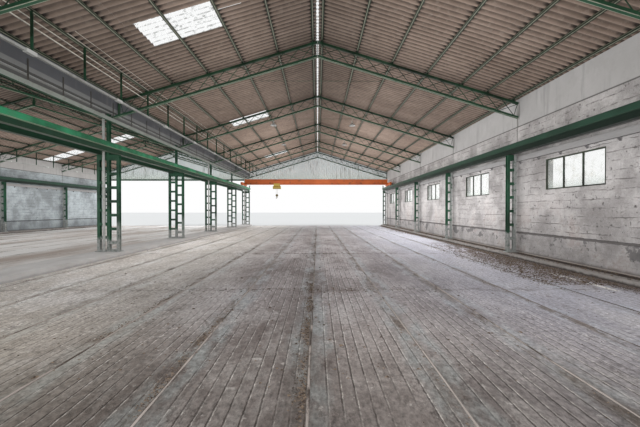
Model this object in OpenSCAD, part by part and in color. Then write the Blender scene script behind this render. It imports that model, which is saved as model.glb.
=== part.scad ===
// Two-nave factory hall: lattice rafters, battened columns, crane beams and a travelling crane.
// Millimetres. X runs across the naves, Y along the hall, Z up from the ground.
// The origin is at ground level, at the middle of the valley line between the two naves.

/* [Plan] */
// Number of bays along the hall
n_bays = 6; // [6:1:7]
// Length of one bay, from frame to frame
bay = 5250; // [4800:50:5600]
// From the valley line to the inner face of a side wall
nave_w = 12700; // [12000:100:13500]
// Thickness of the side walls
wall_t = 200; // [160:10:300]
// How far the floor and the walls run past the end frames
end_over = 250; // [200:10:400]
// Thickness of the floor slab
floor_t = 150; // [100:10:300]

/* [Side walls] */
// Height of the dado above the floor
dado_h = 710; // [500:10:1000]
// Height of the joint below the upper wall panels
upper_z = 3980; // [3700:10:4150]
// Width of the joints between the upper wall panels
joint_w = 14; // [6:1:30]
// Height of a window's sill above the floor
sill_z = 1960; // [1500:10:2000]
// Width of a window
window_w = 2030; // [1200:10:2600]
// Height of a window
window_h = 830; // [600:10:860]
// From the middle of a bay to the middle of its window
window_shift = 260; // [0:10:500]
// Width of a window's outer frame
window_frame = 30; // [24:1:80]
// Width of a glazing bar
glazing_bar = 22; // [16:1:50]
// Depth of a window frame
window_d = 40; // [30:5:90]
// Thickness of the glass
glass_t = 6; // [4:1:10]
// Height of the underside of the wall ledge above the floor
ledge_z = 2910; // [2900:5:2930]
// Height of the wall ledge
ledge_h = 150; // [100:5:170]
// How far the wall ledge stands out
ledge_out = 66; // [40:1:70]
// Distance between the brackets under the ledge
ledge_pitch = 900; // [600:50:1500]

/* [Kerbs] */
// Height of the strip at the foot of the side walls
kerb_h = 100; // [60:5:150]
// Width of the strip at the foot of the side walls
kerb_w = 440; // [400:10:700]
// Gap between that strip and the wall
kerb_gap = 35; // [20:5:40]
// Height of the strip below the valley columns
valley_kerb_h = 125; // [60:5:200]
// Width of the strip below the valley columns
valley_kerb_w = 940; // [860:20:1400]

/* [Columns] */
// Width of a column leg across the hall
leg_w = 80; // [60:2:110]
// Depth of a column leg along the hall
leg_d = 120; // [90:5:180]
// Thickness of flanges, webs and battens
plate_t = 12; // [8:1:16]
// From the middle leg of a valley column to each outer leg
valley_leg_x = 300; // [260:10:340]
// From the wall's inner face to the crane leg of a wall column
wall_leg_in = 320; // [280:5:400]
// Between the two legs of a wall column
wall_leg_gap = 200; // [150:5:210]
// Distance between battens
batten_pitch = 425; // [300:5:600]
// Height of one batten
batten_h = 85; // [50:5:140]
// How much lower the battens sit on a valley column's second ladder
batten_stagger = 150; // [0:10:200]

/* [Crane beams] */
// Height of the underside of the crane beams above the floor
beam_z = 3110; // [3100:10:3300]
// Depth of the crane beams
beam_d = 280; // [200:10:340]
// Width of the crane beams
beam_w = 130; // [90:5:150]
// Height of the rail on a crane beam
rail_h = 32; // [20:2:50]
// Width of the rail on a crane beam
rail_w = 40; // [30:2:60]
// How far the channel over a crane beam reaches down its sides
cap_h = 128; // [60:2:140]
// Thickness of that channel's sides
cap_t = 8; // [6:1:12]
// Height of the end stops above the crane beams
stop_h = 240; // [180:10:280]
// Length of an end stop along the hall
stop_l = 110; // [80:10:140]

/* [Rafters] */
// Height of the rafters' apex above the floor
apex_z = 6635; // [6400:5:7000]
// Pitch of the roof in degrees
pitch = 16.8; // [14:0.1:18]
// Depth of a rafter, square to its length
truss_d = 483; // [380:1:520]
// Depth of a rafter chord
chord_d = 66; // [40:2:90]
// Width of a rafter chord along the hall
chord_w = 80; // [50:2:120]
// Width of a lattice bar
bar_w = 16; // [12:1:34]
// Thickness of a lattice bar
bar_t = 12; // [8:1:30]
// Length of one crossed lattice panel
panel_l = 470; // [380:10:700]

/* [Roof] */
// Height of a purlin
purlin_h = 100; // [70:5:140]
// Width of a purlin
purlin_w = 60; // [40:2:90]
// Thickness of a purlin's web and flanges
purlin_t = 6; // [3:0.5:10]
// From the ridge to the first purlin
ridge_purlin = 125; // [100:5:160]
// Distance between the purlins under whole sheets
purlin_pitch = 1090; // [900:10:1100]
// From the wall's inner face to the eave purlin
eave_in = 165; // [150:5:260]
// Overall depth of the roof sheets, waves and thickness together
wave_d = 51; // [40:1:60]
// Thickness of the roof sheets
sheet_t = 7; // [5:0.5:9]
// Waves of the roof sheets in one bay
bay_waves = 30; // [24:1:36]
// Width of a roof sheet, in waves
sheet_waves = 6; // [4:1:8]
// How far the roof sheets run past the side walls
eave_over = 250; // [100:10:500]
// How far the roof sheets run past the floor at the gables
verge_over = 60; // [20:10:200]
// Half the width of the slit along the ridge
ridge_slit = 25; // [20:5:70]
// Length of a skylight down the slope
skylight_l = 1800; // [1400:10:2000]

/* [Valley] */
// Half the width of the valley gutter
gutter_half = 300; // [220:10:340]
// Height of the gutter's underside above the floor
gutter_z = 4360; // [4350:5:4420]
// Depth of the gutter
gutter_d = 340; // [200:10:380]
// Thickness of the gutter's sheet
gutter_t = 8; // [6:1:12]
// Height of the underside of the channel below the gutter, above the floor
hung_z = 4035; // [4000:5:4080]
// Depth of that channel
hung_d = 125; // [90:5:135]
// Width of that channel's flanges
hung_w = 24; // [14:2:24]
// Thickness of that channel
hung_t = 5; // [3:1:7]
// Gap between two bays of that channel, at a frame
hung_joint = 6; // [2:1:20]
// Straps that hold it in one bay
bay_straps = 5; // [3:1:7]
// Width of a strap
strap_w = 40; // [25:5:60]
// Thickness of a strap
strap_t = 6; // [4:1:8]
// From the top of a strap up to the gutter's edge
strap_down = 80; // [20:10:150]
// How far the straps stand from the middle of their part of the bay, along the hall
strap_shift = 240; // [0:10:240]
// Radius of the rain pipes
pipe_r = 38; // [25:1:42]

/* [Gables] */
// Height of the underside of the gable lintels above the floor
lintel_z = 4060; // [4050:10:4120]
// Depth of a gable lintel
lintel_h = 120; // [80:5:140]
// Width of a gable lintel along the hall
lintel_w = 80; // [64:2:100]
// Thickness of the gable sheeting
gable_t = 40; // [20:2:60]

/* [Tray] */
// Height of the tray's underside above the floor
tray_z = 4280; // [4240:5:4400]
// Height of the tray
tray_h = 46; // [30:2:60]
// Width of the tray
tray_w = 60; // [40:2:80]
// Distance between the tray's hangers
hanger_pitch = 1500; // [1000:50:2000]

/* [Crane] */
// From the far end frame back to the crane
crane_back = 2300; // [1600:50:4000]
// From the valley line to the trolley
trolley_at = 3050; // [2000:50:10500]
// Depth of the crane girder
girder_h = 440; // [300:10:480]
// Width of the crane girder
girder_w = 220; // [160:10:300]
// Length of an end carriage
carriage_l = 1900; // [1400:50:2400]
// Radius of a crane wheel
wheel_r = 130; // [100:5:160]
// From the crane girder's underside down to the underside of the trolley's plate
base_drop = 130; // [125:5:150]
// Radius of the hoist drum
drum_r = 120; // [90:5:125]
// Length of the hoist drum
drum_l = 660; // [400:20:800]
// Height of the hook block's middle above the floor
hook_z = 2640; // [2600:10:2760]
// From the hook block's middle down to the middle of the hook
hook_drop = 210; // [200:5:240]

/* [Hidden] */
$fn = 32;

steel_green = [0.10, 0.30, 0.22];
concrete = [0.55, 0.53, 0.51];
whitewash = [0.72, 0.72, 0.70];
sheet_grey = [0.52, 0.47, 0.43];
clear = [0.85, 0.93, 0.93, 0.5];

// Clearance between pieces that are bolted up but don't touch
fit = 2;
// Clearance where a piece is seated against a sloping one
seat = 0.3;
hall_l = n_bays * bay;
floor_l = hall_l + 2 * end_over;
roof_l = floor_l + 2 * verge_over;
ridge_x = (nave_w + wall_t) / 2;
slope_cos = cos(pitch);
slope_tan = tan(pitch);

// Height of the rafters' top line at a distance d from the ridge
function top_z(d) = apex_z - slope_tan * d;
// Height of the roof sheets' underside at a distance d from the ridge
function sheet_z(d) = top_z(d) + purlin_h / slope_cos;
// Place of a frame along the hall
function frame_y(i) = (i - n_bays / 2) * bay;
// Place down the slope of a point at distance d from the ridge and depth q below the top line
function down(d, q) = (d + q * sin(pitch)) / slope_cos;

// Distance of each purlin from the ridge: four whole rows, then two shorter ones to the eave
whole_rows = 4;
last_whole = ridge_purlin + whole_rows * purlin_pitch;
eave_purlin = nave_w - ridge_x - eave_in;
short_row = (eave_purlin - last_whole) / 2;
purlins = [for (i = [0:whole_rows]) ridge_purlin + i * purlin_pitch,
    last_whole + short_row, eave_purlin];

// Faces that the rafters end at, as distances from the ridge
wall_d = nave_w - ridge_x;
post_d = ridge_x - leg_w / 2;
gutter_face = ridge_x - gutter_half - 20;

wall_leg_x = nave_w - wall_leg_in;
foot_t = 20;
// The gable lintels stand against the end columns, and what lies under the roof ends at the gables
gable_y = hall_l / 2 + leg_d / 2 + lintel_w / 2;
inside_l = 2 * gable_y - gable_t - 2 * fit;
rail_z = beam_z + beam_d + rail_h;
gutter_top = gutter_z + gutter_d;

// Waves of the roof sheets, counted from the near edge of the roof
wave_l = roof_l / (n_bays * bay_waves);
function wave_y(k) = k * wave_l - roof_l / 2;
// Gap between neighbouring strips of sheeting, in waves
joint = fit / wave_l;

// First wave of each skylight, on the right nave's slope beside the valley
skylight_at = [43, 91, 151];
// First wave of the translucent strip down the left nave's outer slope
strip_at = 137;

module both_naves() {
    children();
    mirror([1, 0, 0]) children();
}

module nave(side) {
    mirror([side < 0 ? 1 : 0, 0, 0]) children();
}

module on_floor(z = 0) {
    translate([0, 0, floor_t + z]) children();
}

// Frame of a slope: x runs down from the ridge, z stands square to the roof
module slope(wall_side) {
    on_floor(apex_z) translate([ridge_x, 0, 0])
        mirror([wall_side ? 0 : 1, 0, 0]) rotate([0, pitch, 0]) children();
}

// An outline in X and Z carried along the hall, from a thin plate to the whole length
module along_hall(l) {
    rotate([90, 0, 0]) linear_extrude(l, center = true) children();
}

// Floor and kerbs

module floor_slab() color(concrete)
    translate([-nave_w - wall_t, -floor_l / 2, 0]) cube([2 * (nave_w + wall_t), floor_l, floor_t]);

module wall_kerbs() color(concrete) both_naves()
    on_floor() translate([nave_w - kerb_gap - kerb_w, -floor_l / 2, 0]) cube([kerb_w, floor_l, kerb_h]);

module valley_kerb() color(concrete)
    on_floor() translate([-valley_kerb_w / 2, -floor_l / 2, 0])
        cube([valley_kerb_w, floor_l, valley_kerb_h]);

// Side walls

module dado(side) color(whitewash) nave(side)
    on_floor() translate([nave_w, -floor_l / 2, 0]) cube([wall_t, floor_l, dado_h]);

function window_y(i) = (i + 0.5 - n_bays / 2) * bay + window_shift;

module block_wall(side) color(whitewash) nave(side)
    on_floor(dado_h) translate([nave_w, -floor_l / 2, 0]) cube([wall_t, floor_l, upper_z - dado_h]);

module window_wall(side) color(whitewash) difference() {
    block_wall(side);
    nave(side) for (i = [0:n_bays - 1])
        on_floor(sill_z) translate([nave_w - 50, window_y(i) - window_w / 2, 0])
            cube([wall_t + 100, window_w, window_h]);
}

module upper_wall(side) color(whitewash) nave(side) for (i = [0:n_bays - 1]) {
    first = i == 0 ? -floor_l / 2 : frame_y(i) + joint_w / 2;
    last = i == n_bays - 1 ? floor_l / 2 : frame_y(i + 1) - joint_w / 2;
    on_floor() translate([0, (first + last) / 2, 0]) along_hall(last - first)
        polygon([[nave_w, upper_z], [nave_w + wall_t, upper_z],
            [nave_w + wall_t, sheet_z(wall_d + wall_t) - seat], [nave_w, sheet_z(wall_d) - seat]]);
}

module window_outline() {
    pane_w = (window_w - 2 * window_frame - 2 * glazing_bar) / 3;
    difference() {
        square([window_w, window_h]);
        for (k = [0:2])
            translate([window_frame + k * (pane_w + glazing_bar), window_frame])
                square([pane_w, window_h - 2 * window_frame]);
    }
}

module window_frames() color(steel_green) for (i = [0:n_bays - 1])
    on_floor(sill_z) translate([nave_w + window_d, window_y(i) - window_w / 2, 0])
        rotate([0, 0, 90]) rotate([90, 0, 0]) mirror([0, 0, 1])
            linear_extrude(window_d) window_outline();

module window_glass() color(clear) for (i = [0:n_bays - 1])
    on_floor(sill_z) translate([nave_w + window_d, window_y(i) - window_w / 2, 0])
        cube([glass_t, window_w, window_h]);

module wall_ledges() color(concrete) both_naves() {
    bracket_h = 80;
    bracket_w = 60;
    count = floor(floor_l / ledge_pitch);
    on_floor(ledge_z) translate([nave_w - ledge_out, -floor_l / 2, 0])
        cube([ledge_out, floor_l, ledge_h]);
    for (k = [0:count - 1])
        on_floor(ledge_z) translate([0, (k + 0.5 - count / 2) * ledge_pitch, 0])
            along_hall(bracket_w)
                polygon([[nave_w - ledge_out, 0], [nave_w, -bracket_h], [nave_w, 0]]);
}

// Battened columns

// One face of a column: flanges of the legs, with battens across the gaps between them
module ladder(legs, h) {
    head_h = 170;
    rungs = floor((h - head_h) / batten_pitch);
    difference() {
        translate([legs[0] - leg_w / 2, 0]) square([legs[len(legs) - 1] - legs[0] + leg_w, h]);
        for (g = [0:len(legs) - 2], k = [0:rungs]) {
            shift = g % 2 == 1 ? -batten_stagger : 0;
            low = k == 0 ? 60 : k * batten_pitch + shift + batten_h / 2;
            high = k == rungs ? h - head_h : (k + 1) * batten_pitch + shift - batten_h / 2;
            if (high > low + batten_h)
                translate([legs[g] + leg_w / 2, low])
                    square([legs[g + 1] - legs[g] - leg_w, high - low]);
        }
    }
}

module column(legs, h) {
    for (s = [-1, 1]) translate([0, s * (leg_d - plate_t) / 2, 0]) along_hall(plate_t) ladder(legs, h);
    for (x = legs) translate([x - plate_t / 2, -leg_d / 2, 0]) cube([plate_t, leg_d, h]);
    translate([legs[0] - leg_w, -leg_d, 0])
        cube([legs[len(legs) - 1] - legs[0] + 2 * leg_w, 2 * leg_d, foot_t]);
}

// The rolled section of one leg standing alone
module lone_leg(x, z0, z1) {
    for (s = [-1, 1])
        translate([x - leg_w / 2, s * (leg_d - plate_t) / 2 - plate_t / 2, z0])
            cube([leg_w, plate_t, z1 - z0]);
    translate([x - plate_t / 2, -leg_d / 2, z0]) cube([plate_t, leg_d, z1 - z0]);
}

module wall_columns(side) color(steel_green) nave(side) for (i = [0:n_bays])
    on_floor(kerb_h) translate([0, frame_y(i), 0])
        column([wall_leg_x, wall_leg_x + wall_leg_gap], beam_z - kerb_h);

module valley_columns() color(steel_green) for (i = [0:n_bays])
    on_floor(valley_kerb_h) translate([0, frame_y(i), 0])
        column([-valley_leg_x, 0, valley_leg_x], beam_z - valley_kerb_h);

// The middle leg goes on above the crane beams, up to the gutter
module valley_posts() color(steel_green) for (i = [0:n_bays])
    on_floor() translate([0, frame_y(i), 0]) lone_leg(0, beam_z, gutter_z);

// Crane beams

// A beam with a channel turned down over its top, and the rail on it
module crane_beam_outline() {
    flange = plate_t + 4;
    translate([-beam_w / 2, 0]) square([beam_w, flange]);
    difference() {
        translate([-beam_w / 2, beam_d - cap_h]) square([beam_w, cap_h]);
        translate([cap_t - beam_w / 2, beam_d - cap_h - 1])
            square([beam_w - 2 * cap_t, cap_h - flange + 1]);
    }
    translate([-plate_t / 2, 0]) square([plate_t, beam_d]);
    translate([-rail_w / 2, beam_d - plate_t]) square([rail_w, rail_h + plate_t]);
}

// A plate across the end of the rail, held by a sloping web behind it
module end_stop(end) {
    rise = stop_h - rail_h;
    web_t = 20;
    translate([-rail_w, -end * (stop_l - web_t) / 2 - web_t / 2, -rail_h]) cube([2 * rail_w, web_t, stop_h]);
    rotate([90, 0, 90]) linear_extrude(web_t, center = true)
        polygon([[-end * stop_l / 2, -rail_h], [end * stop_l / 2, -rail_h], [-end * stop_l / 2, rise]]);
}

module crane_beams(side) color(steel_green) nave(side) for (x = [valley_leg_x, wall_leg_x])
    on_floor(beam_z) translate([x, 0, 0]) {
        along_hall(floor_l) crane_beam_outline();
        for (end = [-1, 1]) translate([0, end * (floor_l - stop_l) / 2, beam_d + rail_h]) end_stop(end);
    }

// Lattice rafters

// A bar between two depths below the top line, cut upright at both ends
module strip(d0, d1, q0, q1, w) {
    along_hall(w) polygon([[down(d0, q0), -q0], [down(d1, q0), -q0],
        [down(d1, q1), -q1], [down(d0, q1), -q1]]);
}

// Crossed lattice between the chords, as a plate with three-sided and four-sided openings
module lattice(s0, s1) {
    panels = max(1, floor((s1 - s0) / panel_l));
    p = (s1 - s0) / panels;
    q0 = chord_d;
    q1 = truss_d - chord_d;
    mid = truss_d / 2;
    angle = atan((q1 - q0) / p);
    ds = bar_w / (2 * sin(angle));
    dq = bar_w / (2 * cos(angle));
    edge = chord_d / 2;
    outer = [[s0 - bar_w, -edge], [s1 + bar_w, -edge],
        [s1 + bar_w, edge - truss_d], [s0 - bar_w, edge - truss_d]];
    tops = [for (i = [0:panels - 1]) let (s = s0 + i * p)
        [[s + ds, -q0], [s + p - ds, -q0], [s + p / 2, dq - mid]]];
    bottoms = [for (i = [0:panels - 1]) let (s = s0 + i * p)
        [[s + ds, -q1], [s + p - ds, -q1], [s + p / 2, -dq - mid]]];
    sides = [for (i = [1:1:panels - 1]) let (s = s0 + i * p)
        [[s - p / 2 + ds, -mid], [s, -q0 - dq], [s + p / 2 - ds, -mid], [s, dq - q1]]];
    ends = [[[s0, -q0 - dq], [s0 + p / 2 - ds, -mid], [s0, dq - q1]],
        [[s1, -q0 - dq], [s1, dq - q1], [s1 - p / 2 + ds, -mid]]];
    rings = concat([outer], tops, bottoms, sides, ends);
    starts = [for (i = 0, n = 0; i < len(rings); n = n + len(rings[i]), i = i + 1) n];
    along_hall(bar_t) polygon(points = [for (r = rings) each r],
        paths = [for (i = [0:len(rings) - 1]) [for (k = [0:len(rings[i]) - 1]) starts[i] + k]]);
}

module half_rafter(top_end, foot_end) {
    plate_w = chord_w + 40;
    strip(fit, top_end, 0, chord_d, chord_w);
    strip(fit, foot_end, truss_d - chord_d, truss_d, chord_w);
    strip(fit, fit + plate_t, 0, truss_d, plate_w);
    strip(top_end - plate_t, top_end, 0, truss_d, plate_w);
    strip(foot_end - plate_t, foot_end, truss_d - chord_d - 30, truss_d + 30, plate_w);
    lattice(down(fit + plate_t, truss_d) + bar_w, down(top_end - plate_t, 0) - bar_w);
}

module rafters(first, last = -1) color(steel_green) for (i = [first:max(first, last)])
    translate([0, frame_y(i), 0]) both_naves() {
        slope(true) half_rafter(wall_d - seat, wall_d - seat);
        slope(false) half_rafter(gutter_face, post_d - seat);
    }

// Roof

// A purlin's outline, open towards the ridge
module purlin_outline() {
    difference() {
        translate([-purlin_w / 2, 0]) square([purlin_w, purlin_h]);
        translate([-purlin_w / 2 - purlin_t, purlin_t]) square([purlin_w, purlin_h - 2 * purlin_t]);
    }
}

module nave_purlins(side) color(steel_green) nave(side)
    for (wall_side = [true, false], d = purlins)
        slope(wall_side) translate([down(d, 0), 0, 0]) along_hall(inside_l) purlin_outline();

eave_d = wall_d + wall_t + eave_over;
valley_d = ridge_x - gutter_half + 60;

// The cut edge of waved sheeting from one wave to another: flat crests and troughs with slopes between
module waves(first, last) {
    flat = 0.15;
    rise = wave_d - sheet_t;
    steps = [[-flat, 0], [flat, 0], [0.5 - flat, rise], [0.5 + flat, rise]];
    line = concat([[wave_y(first), 0]],
        [for (k = [first:last], step = steps)
            let (y = wave_y(k + step[0])) if (y > wave_y(first) + 1 && y < wave_y(last) - 1) [y, step[1]]],
        [[wave_y(last), 0]]);
    polygon(concat(line, [for (k = [len(line) - 1:-1:0]) line[k] + [0, sheet_t]]));
}

// Waved sheeting that runs down a slope from one distance to another, both along the slope
module sheeting(wall_side, s0, s1, first, last) {
    slope(wall_side) translate([s0, 0, purlin_h])
        rotate([90, 0, 90]) linear_extrude(s1 - s0) waves(first, last);
}

// One slope of sheeting, in strips a bay long with a joint between them
module roof_slope(wall_side) {
    d1 = wall_side ? eave_d : valley_d;
    for (i = [0:n_bays - 1])
        sheeting(wall_side, down(ridge_slit, -purlin_h), down(d1, 0),
            i * bay_waves + (i > 0 ? joint : 0), (i + 1) * bay_waves);
}

// Where a skylight starts down the slope: just below the third purlin
skylight_s = down(purlins[2], 0) + purlin_w / 2;

// Room for a clear sheet in a slope
module sheet_opening(wall_side, s0, s1, first) {
    slope(wall_side) translate([s0, wave_y(first), purlin_h - 5])
        cube([s1 - s0, sheet_waves * wave_l, wave_d + 10]);
}

strip_s0 = down(purlins[0], 0) + purlin_w;
strip_s1 = down(purlins[6], 0);

module right_roof_wall_side() color(sheet_grey) roof_slope(true);

module right_roof_valley_side() color(sheet_grey) difference() {
    roof_slope(false);
    for (k = skylight_at) sheet_opening(false, skylight_s, skylight_s + skylight_l, k);
}

module left_roof_valley_side() color(sheet_grey) nave(-1) roof_slope(false);

module left_roof_wall_side() color(sheet_grey) nave(-1) difference() {
    roof_slope(true);
    sheet_opening(true, strip_s0, strip_s1, strip_at);
}

module skylights() color(clear) {
    for (k = skylight_at)
        sheeting(false, skylight_s, skylight_s + skylight_l, k + joint, k + sheet_waves - joint);
    nave(-1) sheeting(true, strip_s0, strip_s1, strip_at + joint, strip_at + sheet_waves - joint);
}

module ridge_caps() color(sheet_grey) both_naves() on_floor() translate([ridge_x, 0, 0]) {
    cap_t = 10;
    cap_l = 300;
    low = sheet_z(0) + wave_d / slope_cos + seat;
    along_hall(roof_l) polygon([[0, low], [cap_l, low - slope_tan * cap_l],
        [cap_l, low - slope_tan * cap_l + cap_t], [0, low + cap_t],
        [-cap_l, low - slope_tan * cap_l + cap_t], [-cap_l, low - slope_tan * cap_l]]);
}

// Valley

module valley_gutter() color("dimgray") on_floor(gutter_z) along_hall(inside_l) difference() {
    translate([-gutter_half, 0]) square([2 * gutter_half, gutter_d]);
    translate([gutter_t - gutter_half, gutter_t])
        square([2 * (gutter_half - gutter_t), gutter_d]);
}

// The section of the channel below the gutter's edge, open towards the valley line
module hung_outline() {
    difference() {
        square([hung_w, hung_d]);
        translate([-hung_t, hung_t]) square([hung_w, hung_d - 2 * hung_t]);
    }
}

// The channel hangs on flat straps from the gutter's side, on the side of the nave with the crane
module valley_girder() color("silver") for (i = [0:n_bays - 1])
    on_floor(hung_z) translate([gutter_half + seat, frame_y(i + 0.5), 0]) {
        translate([strap_t / 2 - hung_w, 0, 0]) along_hall(bay - hung_joint) hung_outline();
        for (k = [0:bay_straps - 1])
            translate([0, ((k + 0.5) / bay_straps - 0.5) * bay + strap_shift - strap_w / 2, 0])
                cube([strap_t, strap_w, gutter_top - strap_down - hung_z]);
    }

// Rain pipes stand on the column feet, beside the middle leg, at every second frame
module rain_pipes() color("silver") {
    pipe_x = leg_w / 2 + 10 + pipe_r + 12;
    pipe_y = leg_d / 2 + pipe_r + 10;
    for (i = [2:2:n_bays])
        on_floor(valley_kerb_h + foot_t) translate([-pipe_x, frame_y(i) - pipe_y, 0])
            cylinder(r = pipe_r, h = gutter_z - valley_kerb_h - foot_t);
}

module cable_trays() color("white") for (side = [1, -1]) nave(side) {
    wall_side = side < 0;
    d = purlins[5];
    beside_frame = 110;
    hangers = [for (y = [frame_y(0) + beside_frame + (bay * 2) % hanger_pitch:hanger_pitch:hall_l / 2])
        if (min([for (i = [0:n_bays]) abs(y - frame_y(i))]) > chord_w) y];
    on_floor() translate([ridge_x, 0, 0]) mirror([wall_side ? 0 : 1, 0, 0]) {
        translate([d - tray_w / 2, -hall_l / 2, tray_z]) cube([tray_w, hall_l, tray_h]);
        for (y = hangers) translate([0, y, 0]) along_hall(40)
            polygon([[d - 5, tray_z + tray_h - 5], [d + 5, tray_z + tray_h - 5],
                [d + 5, top_z(d + 5)], [d - 5, top_z(d - 5)]]);
    }
}

// Gables

module gables(end) color(clear) both_naves()
    on_floor() translate([0, end * gable_y, 0]) along_hall(gable_t)
        polygon([[fit, lintel_z + lintel_h], [nave_w - fit, lintel_z + lintel_h],
            [nave_w - fit, sheet_z(wall_d - fit) - seat], [ridge_x, sheet_z(0) - seat],
            [fit, sheet_z(ridge_x - fit) - seat]]);

module gable_lintels() color(steel_green) for (end = [-1, 1]) both_naves()
    on_floor(lintel_z)
        translate([fit, end * gable_y - lintel_w / 2, 0]) cube([nave_w - fit, lintel_w, lintel_h]);

// Crane

crane_y = hall_l / 2 - crane_back;
crane_z = rail_z + wheel_r;
carriage_w = 150;
carriage_h = 200;
running_gap = 0.3;

module at_crane() {
    on_floor() translate([0, crane_y, 0]) children();
}

module crane_girder() color("orange") at_crane() {
    x0 = valley_leg_x + carriage_w / 2;
    x1 = wall_leg_x - carriage_w / 2;
    z0 = crane_z - 20;
    for (z = [z0, z0 + girder_h - flange_t])
        translate([x0, -girder_w / 2, z]) cube([x1 - x0, girder_w, flange_t]);
    translate([x0, -8, z0]) cube([x1 - x0, 16, girder_h]);
}

module crane_carriages() color("orange") at_crane() for (x = [valley_leg_x, wall_leg_x])
    translate([x, 0, 0]) {
        difference() {
            translate([-carriage_w / 2, -carriage_l / 2, crane_z - carriage_h / 2 + 30])
                cube([carriage_w, carriage_l, carriage_h]);
            for (s = [-1, 1])
                translate([-30, s * (carriage_l / 2 - 200) - wheel_r - 10, crane_z - carriage_h])
                    cube([60, 2 * wheel_r + 20, 3 * carriage_h]);
        }
        for (s = [-1, 1]) translate([0, s * (carriage_l / 2 - 200), crane_z + running_gap])
            rotate([0, 90, 0]) {
                cylinder(r = wheel_r, h = rail_w + 10, center = true);
                cylinder(r = 30, h = carriage_w, center = true);
            }
    }

module at_trolley() {
    at_crane() translate([trolley_at, 0, 0]) children();
}

flange_z = crane_z - 20;
flange_t = 20;
base_z = flange_z - base_drop;
drum_z = base_z + 10 - drum_r;

module trolley() color("gold") at_trolley() {
    trolley_l = 520;
    side_t = 16;
    side_h = 210;
    base_t = 24;
    gap = 8;
    roller_r = 30;
    roller_x = 170;
    for (s = [-1, 1]) {
        translate([-trolley_l / 2, s * (girder_w / 2 + gap + side_t / 2) - side_t / 2, base_z + 20])
            cube([trolley_l, side_t, side_h]);
        for (t = [-1, 1])
            translate([t * roller_x, s * (girder_w / 2 + gap), flange_z + flange_t + roller_r + running_gap])
                rotate([s * 90, 0, 0]) cylinder(r = roller_r, h = 45);
    }
    translate([-trolley_l / 2, -girder_w / 2 - gap - side_t, base_z])
        cube([trolley_l, girder_w + 2 * (gap + side_t), base_t]);
    translate([-drum_l / 2, 0, drum_z]) rotate([0, 90, 0]) cylinder(r = drum_r, h = drum_l);
}

module hook_block() color("gold") at_trolley() {
    rope_r = 7;
    for (x = [-60, 60]) translate([x, 0, hook_z])
        cylinder(r = rope_r, h = drum_z - drum_r - hook_z);
    translate([0, 0, hook_z]) rotate([90, 0, 0]) cylinder(r = 105, h = 90, center = true);
    hook_r = 55;
    translate([0, 0, hook_z - hook_drop + hook_r + 5]) cylinder(r = 22, h = hook_drop - hook_r - 75);
    translate([0, 0, hook_z - hook_drop]) rotate([90, 0, 0])
        rotate_extrude(angle = 270) translate([hook_r, 0]) circle(r = 18);
}

floor_slab();
wall_kerbs();
valley_kerb();
dado(1);  // right_dado
window_wall(1);  // right_wall
upper_wall(1);  // right_upper_wall
window_frames();
window_glass();
dado(-1);  // left_dado
block_wall(-1);  // left_wall
upper_wall(-1);  // left_upper_wall
wall_ledges();
wall_columns(1);  // right_columns
valley_columns();
valley_posts();
wall_columns(-1);  // left_columns
crane_beams(1);  // right_crane_beams
crane_beams(-1);  // left_crane_beams
rafters(0);  // rafters_1
rafters(1);  // rafters_2
rafters(2);  // rafters_3
rafters(3);  // rafters_4
rafters(4);  // rafters_5
rafters(5);  // rafters_6
rafters(6, n_bays);  // rafters_7
nave_purlins(1);  // right_purlins
nave_purlins(-1);  // left_purlins
right_roof_wall_side();
right_roof_valley_side();
left_roof_valley_side();
left_roof_wall_side();
skylights();
ridge_caps();
valley_gutter();
valley_girder();
rain_pipes();
cable_trays();
gables(-1);  // near_gables
gables(1);  // far_gables
gable_lintels();
crane_girder();
crane_carriages();
trolley();
hook_block();
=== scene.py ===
"""Two-nave factory hall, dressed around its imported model.

Metres, in the model's own frame: X across the naves, Y along the hall, Z up from the ground.
Each new shape is a grid of points worked out as whole arrays; its docstring gives the formula.
"""
import math

import bpy
import numpy as np
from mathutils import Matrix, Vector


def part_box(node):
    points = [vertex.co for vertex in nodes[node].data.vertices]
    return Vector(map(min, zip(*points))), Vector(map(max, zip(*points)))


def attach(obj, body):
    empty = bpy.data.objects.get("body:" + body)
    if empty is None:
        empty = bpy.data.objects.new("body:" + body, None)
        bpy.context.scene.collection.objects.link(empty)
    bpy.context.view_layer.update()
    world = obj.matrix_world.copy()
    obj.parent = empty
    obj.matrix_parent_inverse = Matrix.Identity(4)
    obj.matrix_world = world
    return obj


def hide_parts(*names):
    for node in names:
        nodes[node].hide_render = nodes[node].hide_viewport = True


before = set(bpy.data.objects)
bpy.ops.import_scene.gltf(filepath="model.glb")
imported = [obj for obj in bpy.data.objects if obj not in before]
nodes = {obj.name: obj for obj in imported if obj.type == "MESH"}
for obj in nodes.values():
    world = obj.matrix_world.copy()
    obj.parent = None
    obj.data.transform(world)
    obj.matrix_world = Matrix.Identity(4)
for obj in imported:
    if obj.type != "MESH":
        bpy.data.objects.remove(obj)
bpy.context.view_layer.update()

scene = bpy.context.scene
scene.view_settings.view_transform = "Standard"
draw = np.random.default_rng(7)

# Places read from the frame
FLOOR_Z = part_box("floor_slab")[1].z
WALL_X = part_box("right_dado")[0].x
RIDGE_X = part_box("right_dado")[1].x / 2
HALL_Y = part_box("floor_slab")[1].y
ROOF_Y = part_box("right_roof_wall_side")[1].y
FRAMES_Y = [sum(corner.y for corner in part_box("rafters_%d" % i)) / 2 for i in range(1, 8)]
BAY = FRAMES_Y[1] - FRAMES_Y[0]

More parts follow.
